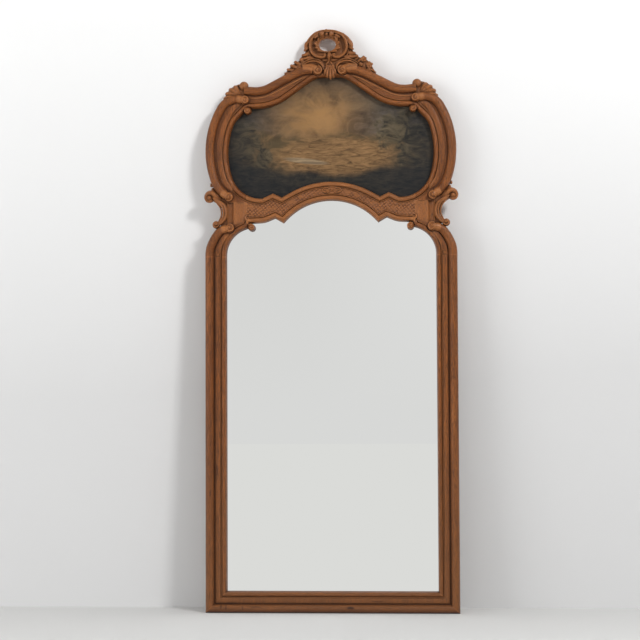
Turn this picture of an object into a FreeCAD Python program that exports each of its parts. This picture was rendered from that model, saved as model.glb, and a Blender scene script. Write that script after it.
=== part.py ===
"""Trumeau mirror: a carved oak frame with a tall mirror plate below and a picture above.

Millimetres. X runs to the viewer's right, Y to the back, Z up. The origin is the
centre of the bottom rail's underside. Heights of relief, named v, are measured
forward from the flat back of the frame.
"""
import FreeCAD, Part
import math
import os
from collections import namedtuple

Vector = FreeCAD.Vector
os.makedirs("parts", exist_ok=True)

# --- Driving dimensions ------------------------------------------------------------

half_width = 500.0          # axis to the outer edge of a stile
stile_height = 1405.0       # straight length of a stile, from the floor
shoulder_rise = 113.0       # top of the straight stile to the shoulder volute
neck_rise = 127.0           # shoulder volute to the foot volute of the picture frame
picture_rise = 500.0        # foot volute of the picture frame to the crest volutes
rail_width = 84.0           # outer edge to sight edge of the stiles and the rail

ground_depth = 38.0         # back to the flat between the mouldings
roll_width = 34.0           # the big outer roll
roll_depth = 56.0           # back to the crown of the roll
bead_width = 20.0           # the moulding along the sight edge
bead_depth = 46.0
bead_lip = 26.0             # back to the sight edge's front arris
crown_ease = 0.97           # radius of a round moulding's front against half its width
rebate_depth = 18.0         # back to the seat of the mirror and of the picture

mirror_thickness = 4.0
canvas_thickness = 1.5
board_thickness = 8.0
board_gap = 0.3             # air left between the boards and what they cover
rebate_clearance = 0.6      # round the edge of the mirror, canvas and boards
mirror_board_count = 4
picture_board_count = 3

arch_x = 190.0              # axis to the lowest tip of the mirror's arch
arch_radius = 252.0
picture_arch_x = 195.0
picture_arch_radius = 321.0

volute_pride = 6.0          # crowns of the volutes before the mouldings they end
curl_pride = 9.0
quirk_width = 3.5           # groove between a volute and the roll that ends in it
quirk_depth = 20.0
shoulder_volute = 18.0      # radii of the carved volutes
foot_volute = 18.0
corner_volute = 17.0
corner_knob = 19.0          # knob at the foot of the top moulding
crest_volute = 20.0
curl_radius = 14.0          # small curls at the ends of the beads
ear_foot_volute = 15.5
ear_head_volute = 22.0
ear_bud = 8.0
ear_width = 26.0
ear_depth = 48.0
ear_inset = 88.0            # outer edge of the stile to the neck's glued side

hollow_width = 24.0         # upright hollows in the neck
hollow_depth = 9.0
panel_width = 34.0
panel_depth = 3.0

leaf_seat = 35.0            # back to the mid plane of the carved leaves
crest_shift = -10.0         # the carved crest stands a little left of the axis
crest_rise = 168.0          # crest volutes to the top knob
crest_half_width = 99.0
crest_depth = 40.0
crest_relief = 60.0         # back to the crown of the crest's scrolls
eye_width = 69.0            # the pierced oval
eye_height = 52.0
eye_rise = 104.0
eye_rim = 18.0

shell_lobe = 11.0

dowel_radius = 5.0
dowel_depth = 20.0
dowel_length = 50.0
key_thickness = 6.0         # feather in each bottom mitre
key_length = 64.0
key_width = 30.0

brad_radius = 0.9
brad_length = 18.0
brad_spacing = 280.0

hanger_height = 1290.0      # floor to the axis of a hanging ring
pocket_width = 42.0
pocket_depth = 9.0
pocket_margin = 4.0
ring_wire = 2.0             # radius
ring_half_width = 13.0
ring_length = 30.0
ring_corner = 4.0
ring_play = 0.08            # round the ring's bar in its knuckle
ring_lift = 0.3             # strap to the ring lying over it
strap_width = 20.0
strap_length = 52.0
strap_thickness = 1.5
knuckle_length = 13.0
screw_radius = 1.75
screw_head_radius = 3.6
screw_length = 16.0
screw_first = 16.0          # ring axis to the first screw
screw_spacing = 24.0

# --- Derived levels ----------------------------------------------------------------

back_y = roll_depth / 2
shoulder_z = stile_height
neck_z = shoulder_z + shoulder_rise
picture_z = neck_z + neck_rise
crest_z = picture_z + picture_rise
roll_inset = roll_width / 2
bead_inset = rail_width - bead_width / 2
neck_x = half_width - ear_inset
frieze_x = half_width - rail_width - 81.0
fork_x = half_width - 178.0    # where the side and the top moulding meet
neck_foot_z = neck_z + shoulder_volute + 2.0
neck_head_z = picture_z - foot_volute - 5.0

Line = namedtuple("Line", "start end")
Arc = namedtuple("Arc", "start end centre turn")


# --- Geometry helpers --------------------------------------------------------------

def at(x, z, v):
    """Point x across and z up, v forward of the frame's back."""
    return Vector(x, back_y - v, z)


def side(inset, z):
    """Point at a distance inside the stiles' outer edge."""
    return (half_width - inset, z)


def heading(start, end):
    """Unit direction and distance between two points."""
    dx, dz = end[0] - start[0], end[1] - start[1]
    length = math.hypot(dx, dz)
    return (dx / length, dz / length), length


def turned(point, centre, angle):
    """Point turned about a centre, anticlockwise as seen from the front."""
    dx, dz = point[0] - centre[0], point[1] - centre[1]
    cosine, sine = math.cos(angle), math.sin(angle)
    return (centre[0] + dx * cosine - dz * sine, centre[1] + dx * sine + dz * cosine)


def trace(points, closed=False):
    """Straight runs joined by tangent arcs, through corners (x, z[, radius])."""
    count = len(points)
    runs = count if closed else count - 1
    ways = [heading(points[i], points[(i + 1) % count]) for i in range(runs)]
    turns, reach = [0.0] * count, [0.0] * count
    for i in range(count):
        if len(points[i]) > 2 and (closed or 0 < i < count - 1):
            (ax, az), (bx, bz) = ways[i - 1][0], ways[i][0]
            turns[i] = math.atan2(ax * bz - az * bx, ax * bx + az * bz)
            reach[i] = points[i][2] * abs(math.tan(turns[i] / 2))
    room = [1.0] * count
    for i in range(runs):
        j = (i + 1) % count
        share = ways[i][1] / max(reach[i] + reach[j], ways[i][1])
        room[i], room[j] = min(room[i], share), min(room[j], share)
    reach = [length * share for length, share in zip(reach, room)]
    segments = []
    for i in range(runs):
        j = (i + 1) % count
        (dx, dz), length = ways[i]
        start = (points[i][0] + dx * reach[i], points[i][1] + dz * reach[i])
        end = (points[j][0] - dx * reach[j], points[j][1] - dz * reach[j])
        if length - reach[i] - reach[j] > 1e-4:
            segments.append(Line(start, end))
        if reach[j] > 0:
            (nx, nz) = ways[j][0]
            leave = (points[j][0] + nx * reach[j], points[j][1] + nz * reach[j])
            radius = reach[j] / math.tan(turns[j] / 2)
            segments.append(Arc(end, leave, (end[0] - dz * radius, end[1] + dx * radius), turns[j]))
    return segments


def direction(segment, at_end):
    """Way of travel at either end of a segment."""
    if isinstance(segment, Line):
        return heading(segment.start, segment.end)[0]
    point = segment.end if at_end else segment.start
    (rx, rz), _ = heading(segment.centre, point)
    hand = math.copysign(1.0, segment.turn)
    return (-rz * hand, rx * hand)


def edges(segments, place):
    """Edges of the segments, put into space by place(a, b)."""
    made = []
    for segment in segments:
        if isinstance(segment, Line):
            made.append(Part.LineSegment(place(*segment.start), place(*segment.end)).toShape())
        else:
            middle = turned(segment.start, segment.centre, segment.turn / 2)
            ends = [place(*segment.start), place(*middle), place(*segment.end)]
            made.append(Part.Arc(*ends).toShape())
    return made


def drawn_in(points, inset):
    """Closed outline made smaller by a distance all round."""
    count = len(points)
    ways = [heading(points[i], points[(i + 1) % count])[0] for i in range(count)]
    area = sum(a[0] * b[1] - b[0] * a[1] for a, b in zip(points, points[1:] + points[:1]))
    shift = math.copysign(inset, area)
    smaller = []
    for i, point in enumerate(points):
        (ax, az), (bx, bz) = ways[i - 1], ways[i]
        spread = shift / (1 + ax * bx + az * bz)
        growth = -shift if ax * bz > az * bx else shift
        corner = (point[0] - (az + bz) * spread, point[1] + (ax + bx) * spread)
        smaller.append(corner + tuple(radius + growth for radius in point[2:]))
    return smaller


def plate(points, low, high, inset=0.0):
    """Flat plate of a closed outline between two depths, its edge drawn in by inset."""
    outline = drawn_in(points, inset) if inset else points
    wire = Part.Wire(edges(trace(outline, closed=True), lambda x, z: at(x, z, low)))
    return Part.Face(wire).extrude(Vector(0, low - high, 0))


def block(x_low, x_high, z_low, z_high, low, high):
    """Rectangular block between two depths."""
    return plate([(x_low, z_low), (x_high, z_low), (x_high, z_high), (x_low, z_high)], low, high)


def join(shapes):
    """One solid from overlapping or touching shapes."""
    return shapes[0].multiFuse(shapes[1:]).removeSplitter()


def largest(shape):
    """The biggest solid of a cut."""
    return max(shape.Solids, key=lambda solid: solid.Volume)


def beyond(point, way, size):
    """Block that covers everything beyond a plane through point, square to way."""
    (dx, dz) = way
    ahead = (point[0] + dx * size, point[1] + dz * size)
    corners = [
        (point[0] - dz * size, point[1] + dx * size),
        (point[0] + dz * size, point[1] - dx * size),
        (ahead[0] + dz * size, ahead[1] - dx * size),
        (ahead[0] - dz * size, ahead[1] + dx * size),
    ]
    return plate(corners, -size, size)


def swept(section, segment, lead, tail):
    """Solid of a section along one segment, carried on past its ends by lead and tail."""
    way = direction(segment, False)
    if isinstance(segment, Line):
        start = (segment.start[0] - way[0] * lead, segment.start[1] - way[1] * lead)
        length = heading(segment.start, segment.end)[1] + lead + tail
    else:
        radius = heading(segment.centre, segment.start)[1]
        hand = math.copysign(1.0, segment.turn)
        start = turned(segment.start, segment.centre, -hand * lead / radius)
        way = direction(Arc(start, segment.end, segment.centre, segment.turn), False)
        length = segment.turn + hand * (lead + tail) / radius
    left = (-way[1], way[0])
    wire = Part.Wire(edges(
        trace(section, closed=True),
        lambda u, v: at(start[0] + left[0] * u, start[1] + left[1] * u, v)))
    face = Part.Face(wire)
    if isinstance(segment, Line):
        return face.extrude(Vector(way[0] * length, 0, way[1] * length))
    axis = Vector(0, -math.copysign(1.0, length), 0)
    return face.revolve(at(*segment.centre, 0), axis, math.degrees(abs(length)))


def sweep(section, points, closed=False):
    """Solids of a section along a route, mitred at its sharp corners.

    The section's u runs to the left of the route, and its v forward from the back.
    """
    size = 3 * max(abs(corner[0]) for corner in section)
    segments = trace(points, closed)
    solids = []
    for i, segment in enumerate(segments):
        solid_cuts, lead, tail = [], 0.0, 0.0
        if closed or i > 0:
            before = direction(segments[i - 1], True)
            now = direction(segment, False)
            if before[0] * now[0] + before[1] * now[1] < 0.9999:
                middle = heading((0, 0), (before[0] + now[0], before[1] + now[1]))[0]
                solid_cuts.append(beyond(segment.start, (-middle[0], -middle[1]), size * 2))
                lead = size
        if closed or i < len(segments) - 1:
            now = direction(segment, True)
            after = direction(segments[(i + 1) % len(segments)], False)
            if after[0] * now[0] + after[1] * now[1] < 0.9999:
                middle = heading((0, 0), (after[0] + now[0], after[1] + now[1]))[0]
                solid_cuts.append(beyond(segment.end, middle, size * 2))
                tail = size
        solid = swept(section, segment, lead, tail)
        for cutter in solid_cuts:
            solid = largest(solid.cut(cutter))
        solids.append(solid)
    return solids


def round_section(width, crown):
    """Section with a half-round front, its crown a little flat."""
    half = width / 2
    radius = half * crown_ease
    return [(-half, 0), (half, 0), (half, crown, radius), (-half, crown, radius)]


def volute(point, radius, crown, foot=0.0):
    """Carved boss: a ball on a round stem, from a foot depth to its crown."""
    seat = crown - radius
    stem = Part.makeCylinder(radius, seat - foot, at(*point, foot), Vector(0, -1, 0))
    return stem.fuse(Part.makeSphere(radius, at(*point, seat)))


def quirk(point, radius, crown):
    """Groove round a volute, open to the front."""
    ball = Part.makeSphere(radius + quirk_width, at(*point, crown - radius))
    floor = crown - quirk_depth
    reach = 2 * radius
    return ball.cut(block(point[0] - reach, point[0] + reach, point[1] - reach, point[1] + reach,
                          floor - reach, floor))


def drop(start, end, radius, v):
    """Lobe that swells from a narrow start to a round end."""
    (dx, dz), length = heading(start, end)
    way = Vector(dx, 0, dz)
    cone = Part.makeCone(radius * 0.35, radius, length, at(*start, v), way)
    return cone.fuse(Part.makeSphere(radius, at(*end, v)))


def leaf(start, end, radius, v):
    """Leaf: a spindle that swells to its middle and narrows to a tip."""
    (dx, dz), length = heading(start, end)
    way = Vector(dx, 0, dz)
    half = length / 2
    tip = radius * 0.15
    stalk = Part.makeCone(tip, radius, half, at(*start, v), way)
    blade = Part.makeCone(radius, tip, half, at(*start, v) + way * half, way)
    return stalk.fuse(blade)


def mirrored(shape):
    """The same piece on the other side of the axis."""
    return shape.mirror(Vector(0, 0, 0), Vector(1, 0, 0))


def both_sides(points):
    """Closed symmetric outline from its right half, listed from the axis to the axis."""
    left = [(-point[0],) + tuple(point[1:]) for point in reversed(points) if point[0] > 0]
    return list(points) + left


def export(name, shape):
    """Write one piece as a STEP file."""
    solids = shape.Solids
    shape = solids[0] if len(solids) == 1 else Part.makeCompound(solids)
    shape.exportStep("parts/" + name + ".step")


# --- Routes of the mouldings, right half -------------------------------------------

roll_z = roll_inset
bead_x = half_width - bead_inset

# Centre line of the bead round the mirror: clockwise, wood on its left.
arch_tip = (arch_x, neck_z + 33.0)
arch_apex = (0.0, arch_tip[1] + 200.0, arch_radius)
mirror_line = [
    arch_apex,
    arch_tip,
    (arch_x + 31.0, neck_z + 51.0),
    (half_width - 235.0, neck_z + 33.0, 80.0),
    (half_width - 170.0, neck_z + 30.0),
    (half_width - 163.0, neck_z + 9.0),
    (bead_x, neck_z - 19.0, 118.0),
    (bead_x, bead_inset),
]

# Centre line of the bead round the picture.
picture_line = [
    (0.0, crest_z - 15.0),
    (60.0, crest_z - 15.0, 90.0),
    (half_width - 270.0, crest_z - 136.0, 205.0),
    (half_width - 166.0, crest_z - 136.0, 12.0),
    (half_width - 107.0, crest_z - 195.0, 100.0),
    (half_width - 63.0, picture_z + 184.0, 326.0),
    (half_width - 124.5, picture_z - 18.0, 134.0),
    (half_width - 229.0, picture_z - 17.0),
    (picture_arch_x + 36.0, picture_z + 2.0),
    (picture_arch_x, picture_z - 15.0),
    (0.0, picture_z + 93.0, picture_arch_radius),
]

# Centre lines of the big roll.
foot_roll = [(0.0, roll_z), side(roll_inset, roll_z), side(roll_inset, shoulder_z)]
shoulder_point = side(99.0, neck_z)
shoulder_roll = [
    side(roll_inset, shoulder_z),
    side(roll_inset, shoulder_z + 35.0) + (110.0,),
    side(38.0, neck_z - 38.0) + (110.0,),
    side(62.0, neck_z - 4.0) + (46.0,),
    shoulder_point,
]
foot_point = side(95.0, picture_z)
corner_point = side(160.0, crest_z - 115.0)
side_roll = [
    foot_point,
    side(55.0, picture_z + 20.0) + (116.0,),
    side(-17.0, picture_z + 214.0) + (352.0,),
    side(91.0, crest_z - 98.0) + (74.0,),
    corner_point,
]
crest_point = (50.0, crest_z)
mirror_curl = side(184.0, neck_z + 4.0)
picture_curl = side(171.0, crest_z - 156.0)
top_roll = [
    side(158.0, crest_z - 75.0),
    side(228.0, crest_z - 81.0) + (120.0,),
    (105.0, crest_z + 6.0, 150.0),
    (50.0, crest_z + 4.0),
]

# Outer boundary of the ground, inside the rolls' crowns.
ground_line = (
    [(0.0, roll_z), side(roll_inset, roll_z)]
    + shoulder_roll[:-1]
    + [(neck_x, neck_z), (neck_x, picture_z)]
    + side_roll[1:-1]
    + [side(154.0, crest_z - 97.0)]
    + top_roll
    + [(0.0, crest_z + 4.0)]
)

roll_section = round_section(roll_width, roll_depth)
bead_half = bead_width / 2
bead_section = [
    (0.0, 0.0),
    (bead_half, 0.0),
    (bead_half, bead_depth, 9.0),
    (-bead_half * 0.6, bead_depth, 9.0),
    (-bead_half, bead_lip),
    (-bead_half, rebate_depth),
    (0.0, rebate_depth),
]


# --- The moulded frame, right half ---------------------------------------------------

def right_half(shapes):
    """What lies on the right of the axis."""
    left = block(-2 * half_width, 0.0, -half_width, crest_z + half_width, -half_width, half_width)
    kept = [shape for shape in shapes if shape.BoundBox.XMax > 1.0]
    return [largest(shape.cut(left)) if shape.BoundBox.XMin < 0 else shape for shape in kept]


def bead_round(line):
    """Right half of the bead along a closed symmetric line."""
    return right_half(sweep(bead_section, both_sides(line), closed=True))


def frame_half():
    """Ground, rolls, beads and volutes of the right half, in one solid."""
    ground = plate(ground_line, 0.0, ground_depth)
    ground = ground.cut(plate(both_sides(mirror_line), -1.0, ground_depth + 1.0))
    ground = ground.cut(plate(both_sides(picture_line), -1.0, ground_depth + 1.0))
    shapes = [ground]
    for route in (foot_roll, shoulder_roll, side_roll, top_roll):
        shapes += sweep(roll_section, route)
    shapes += bead_round(mirror_line)
    shapes += bead_round(picture_line)
    crown = roll_depth + volute_pride
    knobs = [
        (shoulder_point, shoulder_volute, crown, 0.0),
        (foot_point, foot_volute, crown, 0.0),
        (corner_point, corner_volute, crown, 0.0),
        (crest_point, crest_volute, crown, rebate_depth),
    ]
    whole = join(shapes)
    for point, radius, top, _ in knobs:
        whole = largest(whole.cut(quirk(point, radius, top)))
    knobs += [(point, curl_radius, bead_depth + curl_pride, rebate_depth)
              for point in (mirror_curl, picture_curl)]
    return join([whole] + [volute(*knob) for knob in knobs])


def region(points):
    """Everything inside an outline, through the whole depth of the frame."""
    return plate(points, -half_width, half_width)


def frame_pieces():
    """The right half of the frame, sawn into its pieces along the glued joints."""
    far = 2 * half_width
    mitre_x, mitre_z = half_width - far / 4, far / 4
    opening_x = frieze_x - bead_width
    fork_z = crest_z - 87.0
    tongue_z = crest_z - 144.0
    regions = {
        "bottom_rail": [(0.0, -far), (half_width + far, -far), (mitre_x, mitre_z), (0.0, mitre_z)],
        "stile": [(half_width + far, -far), (half_width + far, shoulder_z),
                  (mitre_x, shoulder_z), (mitre_x, mitre_z)],
        "shoulder": [(arch_x + 90.0, shoulder_z), (far, shoulder_z),
                     (far, neck_foot_z), (arch_x + 90.0, neck_foot_z)],
        "neck": [(frieze_x, neck_foot_z), (far, neck_foot_z),
                 (far, neck_head_z), (frieze_x, neck_head_z)],
        "frieze": [(0.0, shoulder_z), (arch_x + 90.0, shoulder_z), (arch_x + 90.0, neck_foot_z),
                   (frieze_x, neck_foot_z), (frieze_x, picture_z + 55.0),
                   (opening_x, picture_z + 100.0), (0.0, picture_z + 100.0)],
        "side": [(frieze_x, neck_head_z), (far, neck_head_z), (far, fork_z), (fork_x, fork_z),
                 (fork_x, tongue_z), (opening_x, tongue_z), (opening_x, picture_z + 100.0),
                 (frieze_x, picture_z + 55.0)],
        "top": [(0.0, picture_z + 100.0), (opening_x, picture_z + 100.0), (opening_x, tongue_z),
                (fork_x, tongue_z), (fork_x, fork_z), (far, fork_z), (far, far * 3), (0.0, far * 3)],
    }
    whole = frame_half()
    return {name: largest(whole.common(region(outline))) for name, outline in regions.items()}


# --- Joinery -------------------------------------------------------------------------

def dowel(x, z, upright):
    """Glued dowel across a joint, along the height or along the width."""
    way = Vector(0, 0, 1) if upright else Vector(1, 0, 0)
    middle = at(x, z, dowel_depth)
    return Part.makeCylinder(dowel_radius, dowel_length, middle - way * (dowel_length / 2), way)


def dowels():
    """All dowels of the right half; the last one crosses the joint on the axis."""
    places = [
        (half_width - 55.0, shoulder_z, True),
        (half_width - 30.0, shoulder_z, True),
        (neck_x - 27.0, neck_foot_z, True),
        (neck_x - 11.0, neck_foot_z, True),
        (neck_x - 27.0, neck_head_z, True),
        (neck_x - 11.0, neck_head_z, True),
        (frieze_x, neck_foot_z + 32.0, False),
        (frieze_x, neck_head_z - 22.0, False),
        (fork_x, crest_z - 119.0, False),
        (fork_x, crest_z - 101.0, False),
    ]
    return [dowel(*place) for place in places]


def mitre_key():
    """Feather glued across the right bottom mitre, square to it."""
    middle = (half_width - rail_width / 2, rail_width / 2)
    along, across = key_width / 2 / math.sqrt(2), key_length / 2 / math.sqrt(2)
    corners = [
        (middle[0] - along - across, middle[1] + along - across),
        (middle[0] + along - across, middle[1] - along - across),
        (middle[0] + along + across, middle[1] - along + across),
        (middle[0] - along + across, middle[1] + along + across),
    ]
    return plate(corners, dowel_depth - key_thickness / 2, dowel_depth + key_thickness / 2)


# --- Carving glued to the frame ------------------------------------------------------

def ear():
    """C-scroll outside the neck: two volutes, the roll between them and a bud."""
    foot = side(ear_inset - 45.0, neck_z + 16.0)
    head = side(16.0, picture_z - 3.0)
    bud = side(20.0, picture_z + 48.0)
    middle = (neck_x + ear_width / 2, (neck_z + picture_z) / 2)
    route = [
        foot,
        (middle[0], foot[1] + 12.0, 34.0),
        (middle[0], middle[1] + 14.0, 40.0),
        head,
    ]
    section = round_section(ear_width, ear_depth)
    web = block(neck_x, middle[0] + 2.0, foot[1] - 4.0, neck_head_z, 0.0, ground_depth)
    shapes = [web] + sweep(section, route)
    shapes.append(volute(foot, ear_foot_volute, ear_depth + volute_pride))
    shapes.append(volute(head, ear_head_volute, ear_depth + volute_pride))
    stem = [head, (head[0] + 4.0, head[1] + 36.0, 30.0), bud]
    shapes += sweep(round_section(ear_bud * 1.6, ground_depth), stem)
    shapes.append(volute(bud, ear_bud, ground_depth + 2.0))
    return join(shapes)


def corner_shell():
    """Fluted shell that fills the corner between the side and the top moulding."""
    focus = side(148.0, crest_z - 93.0)
    tips = [
        side(78.0, crest_z - 101.0),
        side(87.0, crest_z - 79.0),
        side(101.0, crest_z - 62.0),
        side(118.0, crest_z - 51.0),
    ]
    ball = side(155.0, crest_z - 56.0)
    base = plate([focus] + tips + [ball], 0.0, ground_depth)
    shapes = [base]
    shapes += [drop(focus, tip, shell_lobe, ground_depth - 3.0) for tip in tips]
    shapes.append(volute(ball, corner_knob, ground_depth + volute_pride + 8.0))
    return join(shapes)


def crest_outline():
    """Right half of the crest block, from the top knob to its seat."""
    w, z, top = crest_half_width, crest_z, crest_z + crest_rise
    return [
        (0.0, top),
        (44.0, top, 60.0),
        (w - 21.0, top - 30.0, 60.0),
        (w, top - 72.0, 60.0),
        (w - 8.0, z + 68.0, 12.0),
        (w + 12.0, z + 56.0, 6.0),
        (w - 4.0, z + 16.0, 12.0),
        (w - 60.0, z - 8.0),
        (0.0, z - 8.0),
    ]


def crest():
    """Pierced crest: a block with a rimmed eye, C-scrolls and buds in relief."""
    body = plate(both_sides(crest_outline()), 0.0, crest_depth)
    w, z, top = crest_half_width, crest_z, crest_z + crest_rise
    eye = oval(eye_width, eye_height, crest_z + eye_rise)
    body = body.cut(plate(eye, -1.0, crest_depth + 1.0))
    rim = oval(eye_width + eye_rim, eye_height + eye_rim, crest_z + eye_rise)
    shapes = [body] + sweep(round_section(eye_rim, crest_relief - 8.0), rim, closed=True)
    scroll = [(14.0, z + 26.0), (w - 36.0, z + 34.0, 40.0), (w - 16.0, z + 92.0, 60.0),
              (w - 46.0, top - 26.0, 40.0), (12.0, top - 14.0)]
    shapes += sweep(round_section(16.0, crest_relief), scroll)
    shapes += sweep(round_section(16.0, crest_relief), [(-p[0],) + tuple(p[1:]) for p in scroll])
    for x in (14.0, -14.0):
        shapes.append(volute((x, top - 16.0), 12.0, crest_relief + volute_pride))
        shapes.append(volute((x * 1.6, z + 30.0), 13.0, crest_relief + volute_pride))
    return moved(join(shapes), crest_shift)


def oval(width, height, z):
    """Closed oval outline round the axis."""
    radius = height / 2 * 0.98
    return [
        (-width / 2, z - height / 2, radius),
        (width / 2, z - height / 2, radius),
        (width / 2, z + height / 2, radius),
        (-width / 2, z + height / 2, radius),
    ]


def moved(shape, dx):
    """The shape shifted across the frame."""
    return shape.translated(Vector(dx, 0, 0))


def crest_shell():
    """Fluted shell that hangs from the crest over the joint of the two top mouldings."""
    focus = (0.0, crest_z + 12.0)
    tips = [(x, crest_z - 34.0 + abs(x) * 0.35) for x in (-18.0, -9.0, 0.0, 9.0, 18.0)]
    lobes = [drop(focus, tip, shell_lobe * 0.8, ground_depth + 4.0) for tip in tips]
    base = plate([(-17.0, focus[1]), tips[0], tips[2], tips[4], (17.0, focus[1])],
                 ground_depth, ground_depth + 8.0)
    behind = block(-half_width, half_width, 0.0, 2 * crest_z, -half_width, ground_depth)
    return join([base] + lobes).cut(behind)


def crest_leaves():
    """Acanthus spray along the left top moulding."""
    z = crest_z
    base = plate([(-84.0, z + 52.0), (-118.0, z + 54.0), (-150.0, z + 34.0),
                  (-182.0, z - 6.0), (-196.0, z - 30.0), (-84.0, z - 30.0)], 0.0, ground_depth)
    fronds = [
        ((-92.0, z + 18.0), (-124.0, z + 60.0), 11.0),
        ((-98.0, z + 12.0), (-150.0, z + 44.0), 12.0),
        ((-110.0, z + 4.0), (-176.0, z + 26.0), 12.0),
        ((-128.0, z - 6.0), (-184.0, z + 4.0), 11.0),
        ((-140.0, z - 14.0), (-200.0, z - 26.0), 9.0),
    ]
    shapes = [base]
    for i, (start, end, radius) in enumerate(fronds):
        shapes.append(leaf(start, end, radius, leaf_seat - i))
    return join(shapes)


def crest_flowers():
    """Spray of blossoms along the right top moulding."""
    z = crest_z
    base = plate([(80.0, z + 50.0), (112.0, z + 56.0), (146.0, z + 38.0),
                  (176.0, z + 2.0), (190.0, z - 26.0), (80.0, z - 30.0)], 0.0, ground_depth)
    blossoms = [
        volute((104.0, z + 40.0), 15.0, ground_depth + 14.0),
        volute((136.0, z + 34.0), 17.0, ground_depth + 16.0),
        volute((160.0, z + 12.0), 15.0, ground_depth + 12.0),
    ]
    leaves = [
        leaf((86.0, z + 30.0), (112.0, z + 62.0), 9.0, leaf_seat),
        leaf((150.0, z + 4.0), (190.0, z - 20.0), 10.0, leaf_seat),
    ]
    return join([base] + blossoms + leaves)


def frieze_cartouche():
    """Small oval leaf cartouche over the crown of the arch."""
    z = picture_z + 22.0
    base = plate(oval(82.0, 30.0, z), ground_depth, ground_depth + 3.0)
    fronds = [
        leaf((8.0 * hand, z - 4.0), (40.0 * hand, z + 6.0), 7.0, ground_depth + 2.0)
        for hand in (-1, 1)
    ]
    heart = Part.makeSphere(9.0, at(0.0, z, ground_depth + 2.0))
    behind = block(-half_width, half_width, 0.0, crest_z, -half_width, ground_depth)
    return join([base, heart] + fronds).cut(behind)


# --- What the frame holds ------------------------------------------------------------

def boards(line, cover_thickness, count, upright):
    """Backing boards behind the mirror or the picture, side by side."""
    high = rebate_depth - cover_thickness - board_gap
    panel = plate(both_sides(line), high - board_thickness, high, rebate_clearance)
    box = panel.BoundBox
    low, length = (box.XMin, box.XLength) if upright else (box.ZMin, box.ZLength)
    made = []
    for i in range(count):
        a, b = low + length * i / count, low + length * (i + 1) / count
        if upright:
            strip = block(a, b, box.ZMin - 1, box.ZMax + 1, -1.0, rebate_depth)
        else:
            strip = block(box.XMin - 1, box.XMax + 1, a, b, -1.0, rebate_depth)
        made.append(largest(panel.common(strip)))
    return made


def brads(line, cover_thickness):
    """Headless brads in the wall of the rebate, lying against the back of the boards."""
    v = rebate_depth - cover_thickness - board_gap - board_thickness - brad_radius
    made = []
    for segment in trace(both_sides(line), closed=True):
        if isinstance(segment, Line):
            length = heading(segment.start, segment.end)[1]
        else:
            length = heading(segment.centre, segment.start)[1] * abs(segment.turn)
        if length < brad_length * 4:
            continue
        count = max(1, round(length / brad_spacing))
        for i in range(count):
            share = (i + 0.5) / count
            if isinstance(segment, Line):
                way = direction(segment, False)
                point = (segment.start[0] + way[0] * length * share,
                         segment.start[1] + way[1] * length * share)
            else:
                point = turned(segment.start, segment.centre, segment.turn * share)
                way = direction(Arc(point, point, segment.centre, segment.turn), False)
            outward = Vector(-way[1], 0, way[0])
            start = at(*point, v) - outward * (brad_length / 2)
            made.append(Part.makeCylinder(brad_radius, brad_length, start, outward))
    return made


# --- Hanging rings in the back of the stiles -----------------------------------------

def hanger_parts():
    """Pocket, strap, ring and screws behind the right stile."""
    x = half_width - rail_width / 2
    z = hanger_height
    bore = ring_wire + ring_play
    shell = bore + strap_thickness
    lift = max(shell, strap_thickness + ring_lift + ring_wire)
    axis_v = pocket_depth - lift
    reach = max(ring_length, strap_length) + ring_wire + pocket_margin
    pocket = block(x - pocket_width / 2, x + pocket_width / 2, z - reach,
                   z + ring_length + ring_wire + pocket_margin, -1.0, pocket_depth)

    barrel_start = at(x - knuckle_length / 2, z, axis_v)
    barrel = Part.makeCylinder(shell, knuckle_length, barrel_start, Vector(1, 0, 0))
    hole = Part.makeCylinder(bore, knuckle_length, barrel_start, Vector(1, 0, 0))
    tongue = block(x - strap_width / 2, x + strap_width / 2, z - strap_length, z - shell - 2.0,
                   pocket_depth - strap_thickness, pocket_depth)
    neck = block(x - knuckle_length / 2, x + knuckle_length / 2, z - shell - 2.0, z,
                 pocket_depth - strap_thickness, pocket_depth)
    strap = barrel.fuse(neck.fuse(tongue)).cut(hole)

    outline = [
        (x - ring_half_width, z, ring_corner),
        (x + ring_half_width, z, ring_corner),
        (x + ring_half_width, z - ring_length, ring_half_width),
        (x - ring_half_width, z - ring_length, ring_half_width),
    ]
    ring = join([ring_run(segment, axis_v) for segment in trace(outline, closed=True)])

    screws = []
    for i in range(2):
        level = z - screw_first - i * screw_spacing
        head_height = screw_head_radius - screw_radius
        top = at(x, level, pocket_depth - strap_thickness)
        head = Part.makeCone(screw_head_radius, screw_radius, head_height, top, Vector(0, -1, 0))
        shank = Part.makeCylinder(screw_radius, screw_length, top, Vector(0, -1, 0))
        screws.append(head.fuse(shank).removeSplitter())
    for screw in screws:
        strap = strap.cut(screw)
    return pocket, strap.removeSplitter(), ring, screws


def ring_run(segment, v):
    """Round wire along one segment of a ring."""
    way = direction(segment, False)
    start = at(*segment.start, v)
    circle = Part.Circle(start, Vector(way[0], 0, way[1]), ring_wire).toShape()
    face = Part.Face(Part.Wire(circle))
    if isinstance(segment, Line):
        length = heading(segment.start, segment.end)[1]
        return face.extrude(Vector(way[0] * length, 0, way[1] * length))
    axis = Vector(0, -math.copysign(1.0, segment.turn), 0)
    return face.revolve(at(*segment.centre, v), axis, math.degrees(abs(segment.turn)))


# --- Assembly ------------------------------------------------------------------------

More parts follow.
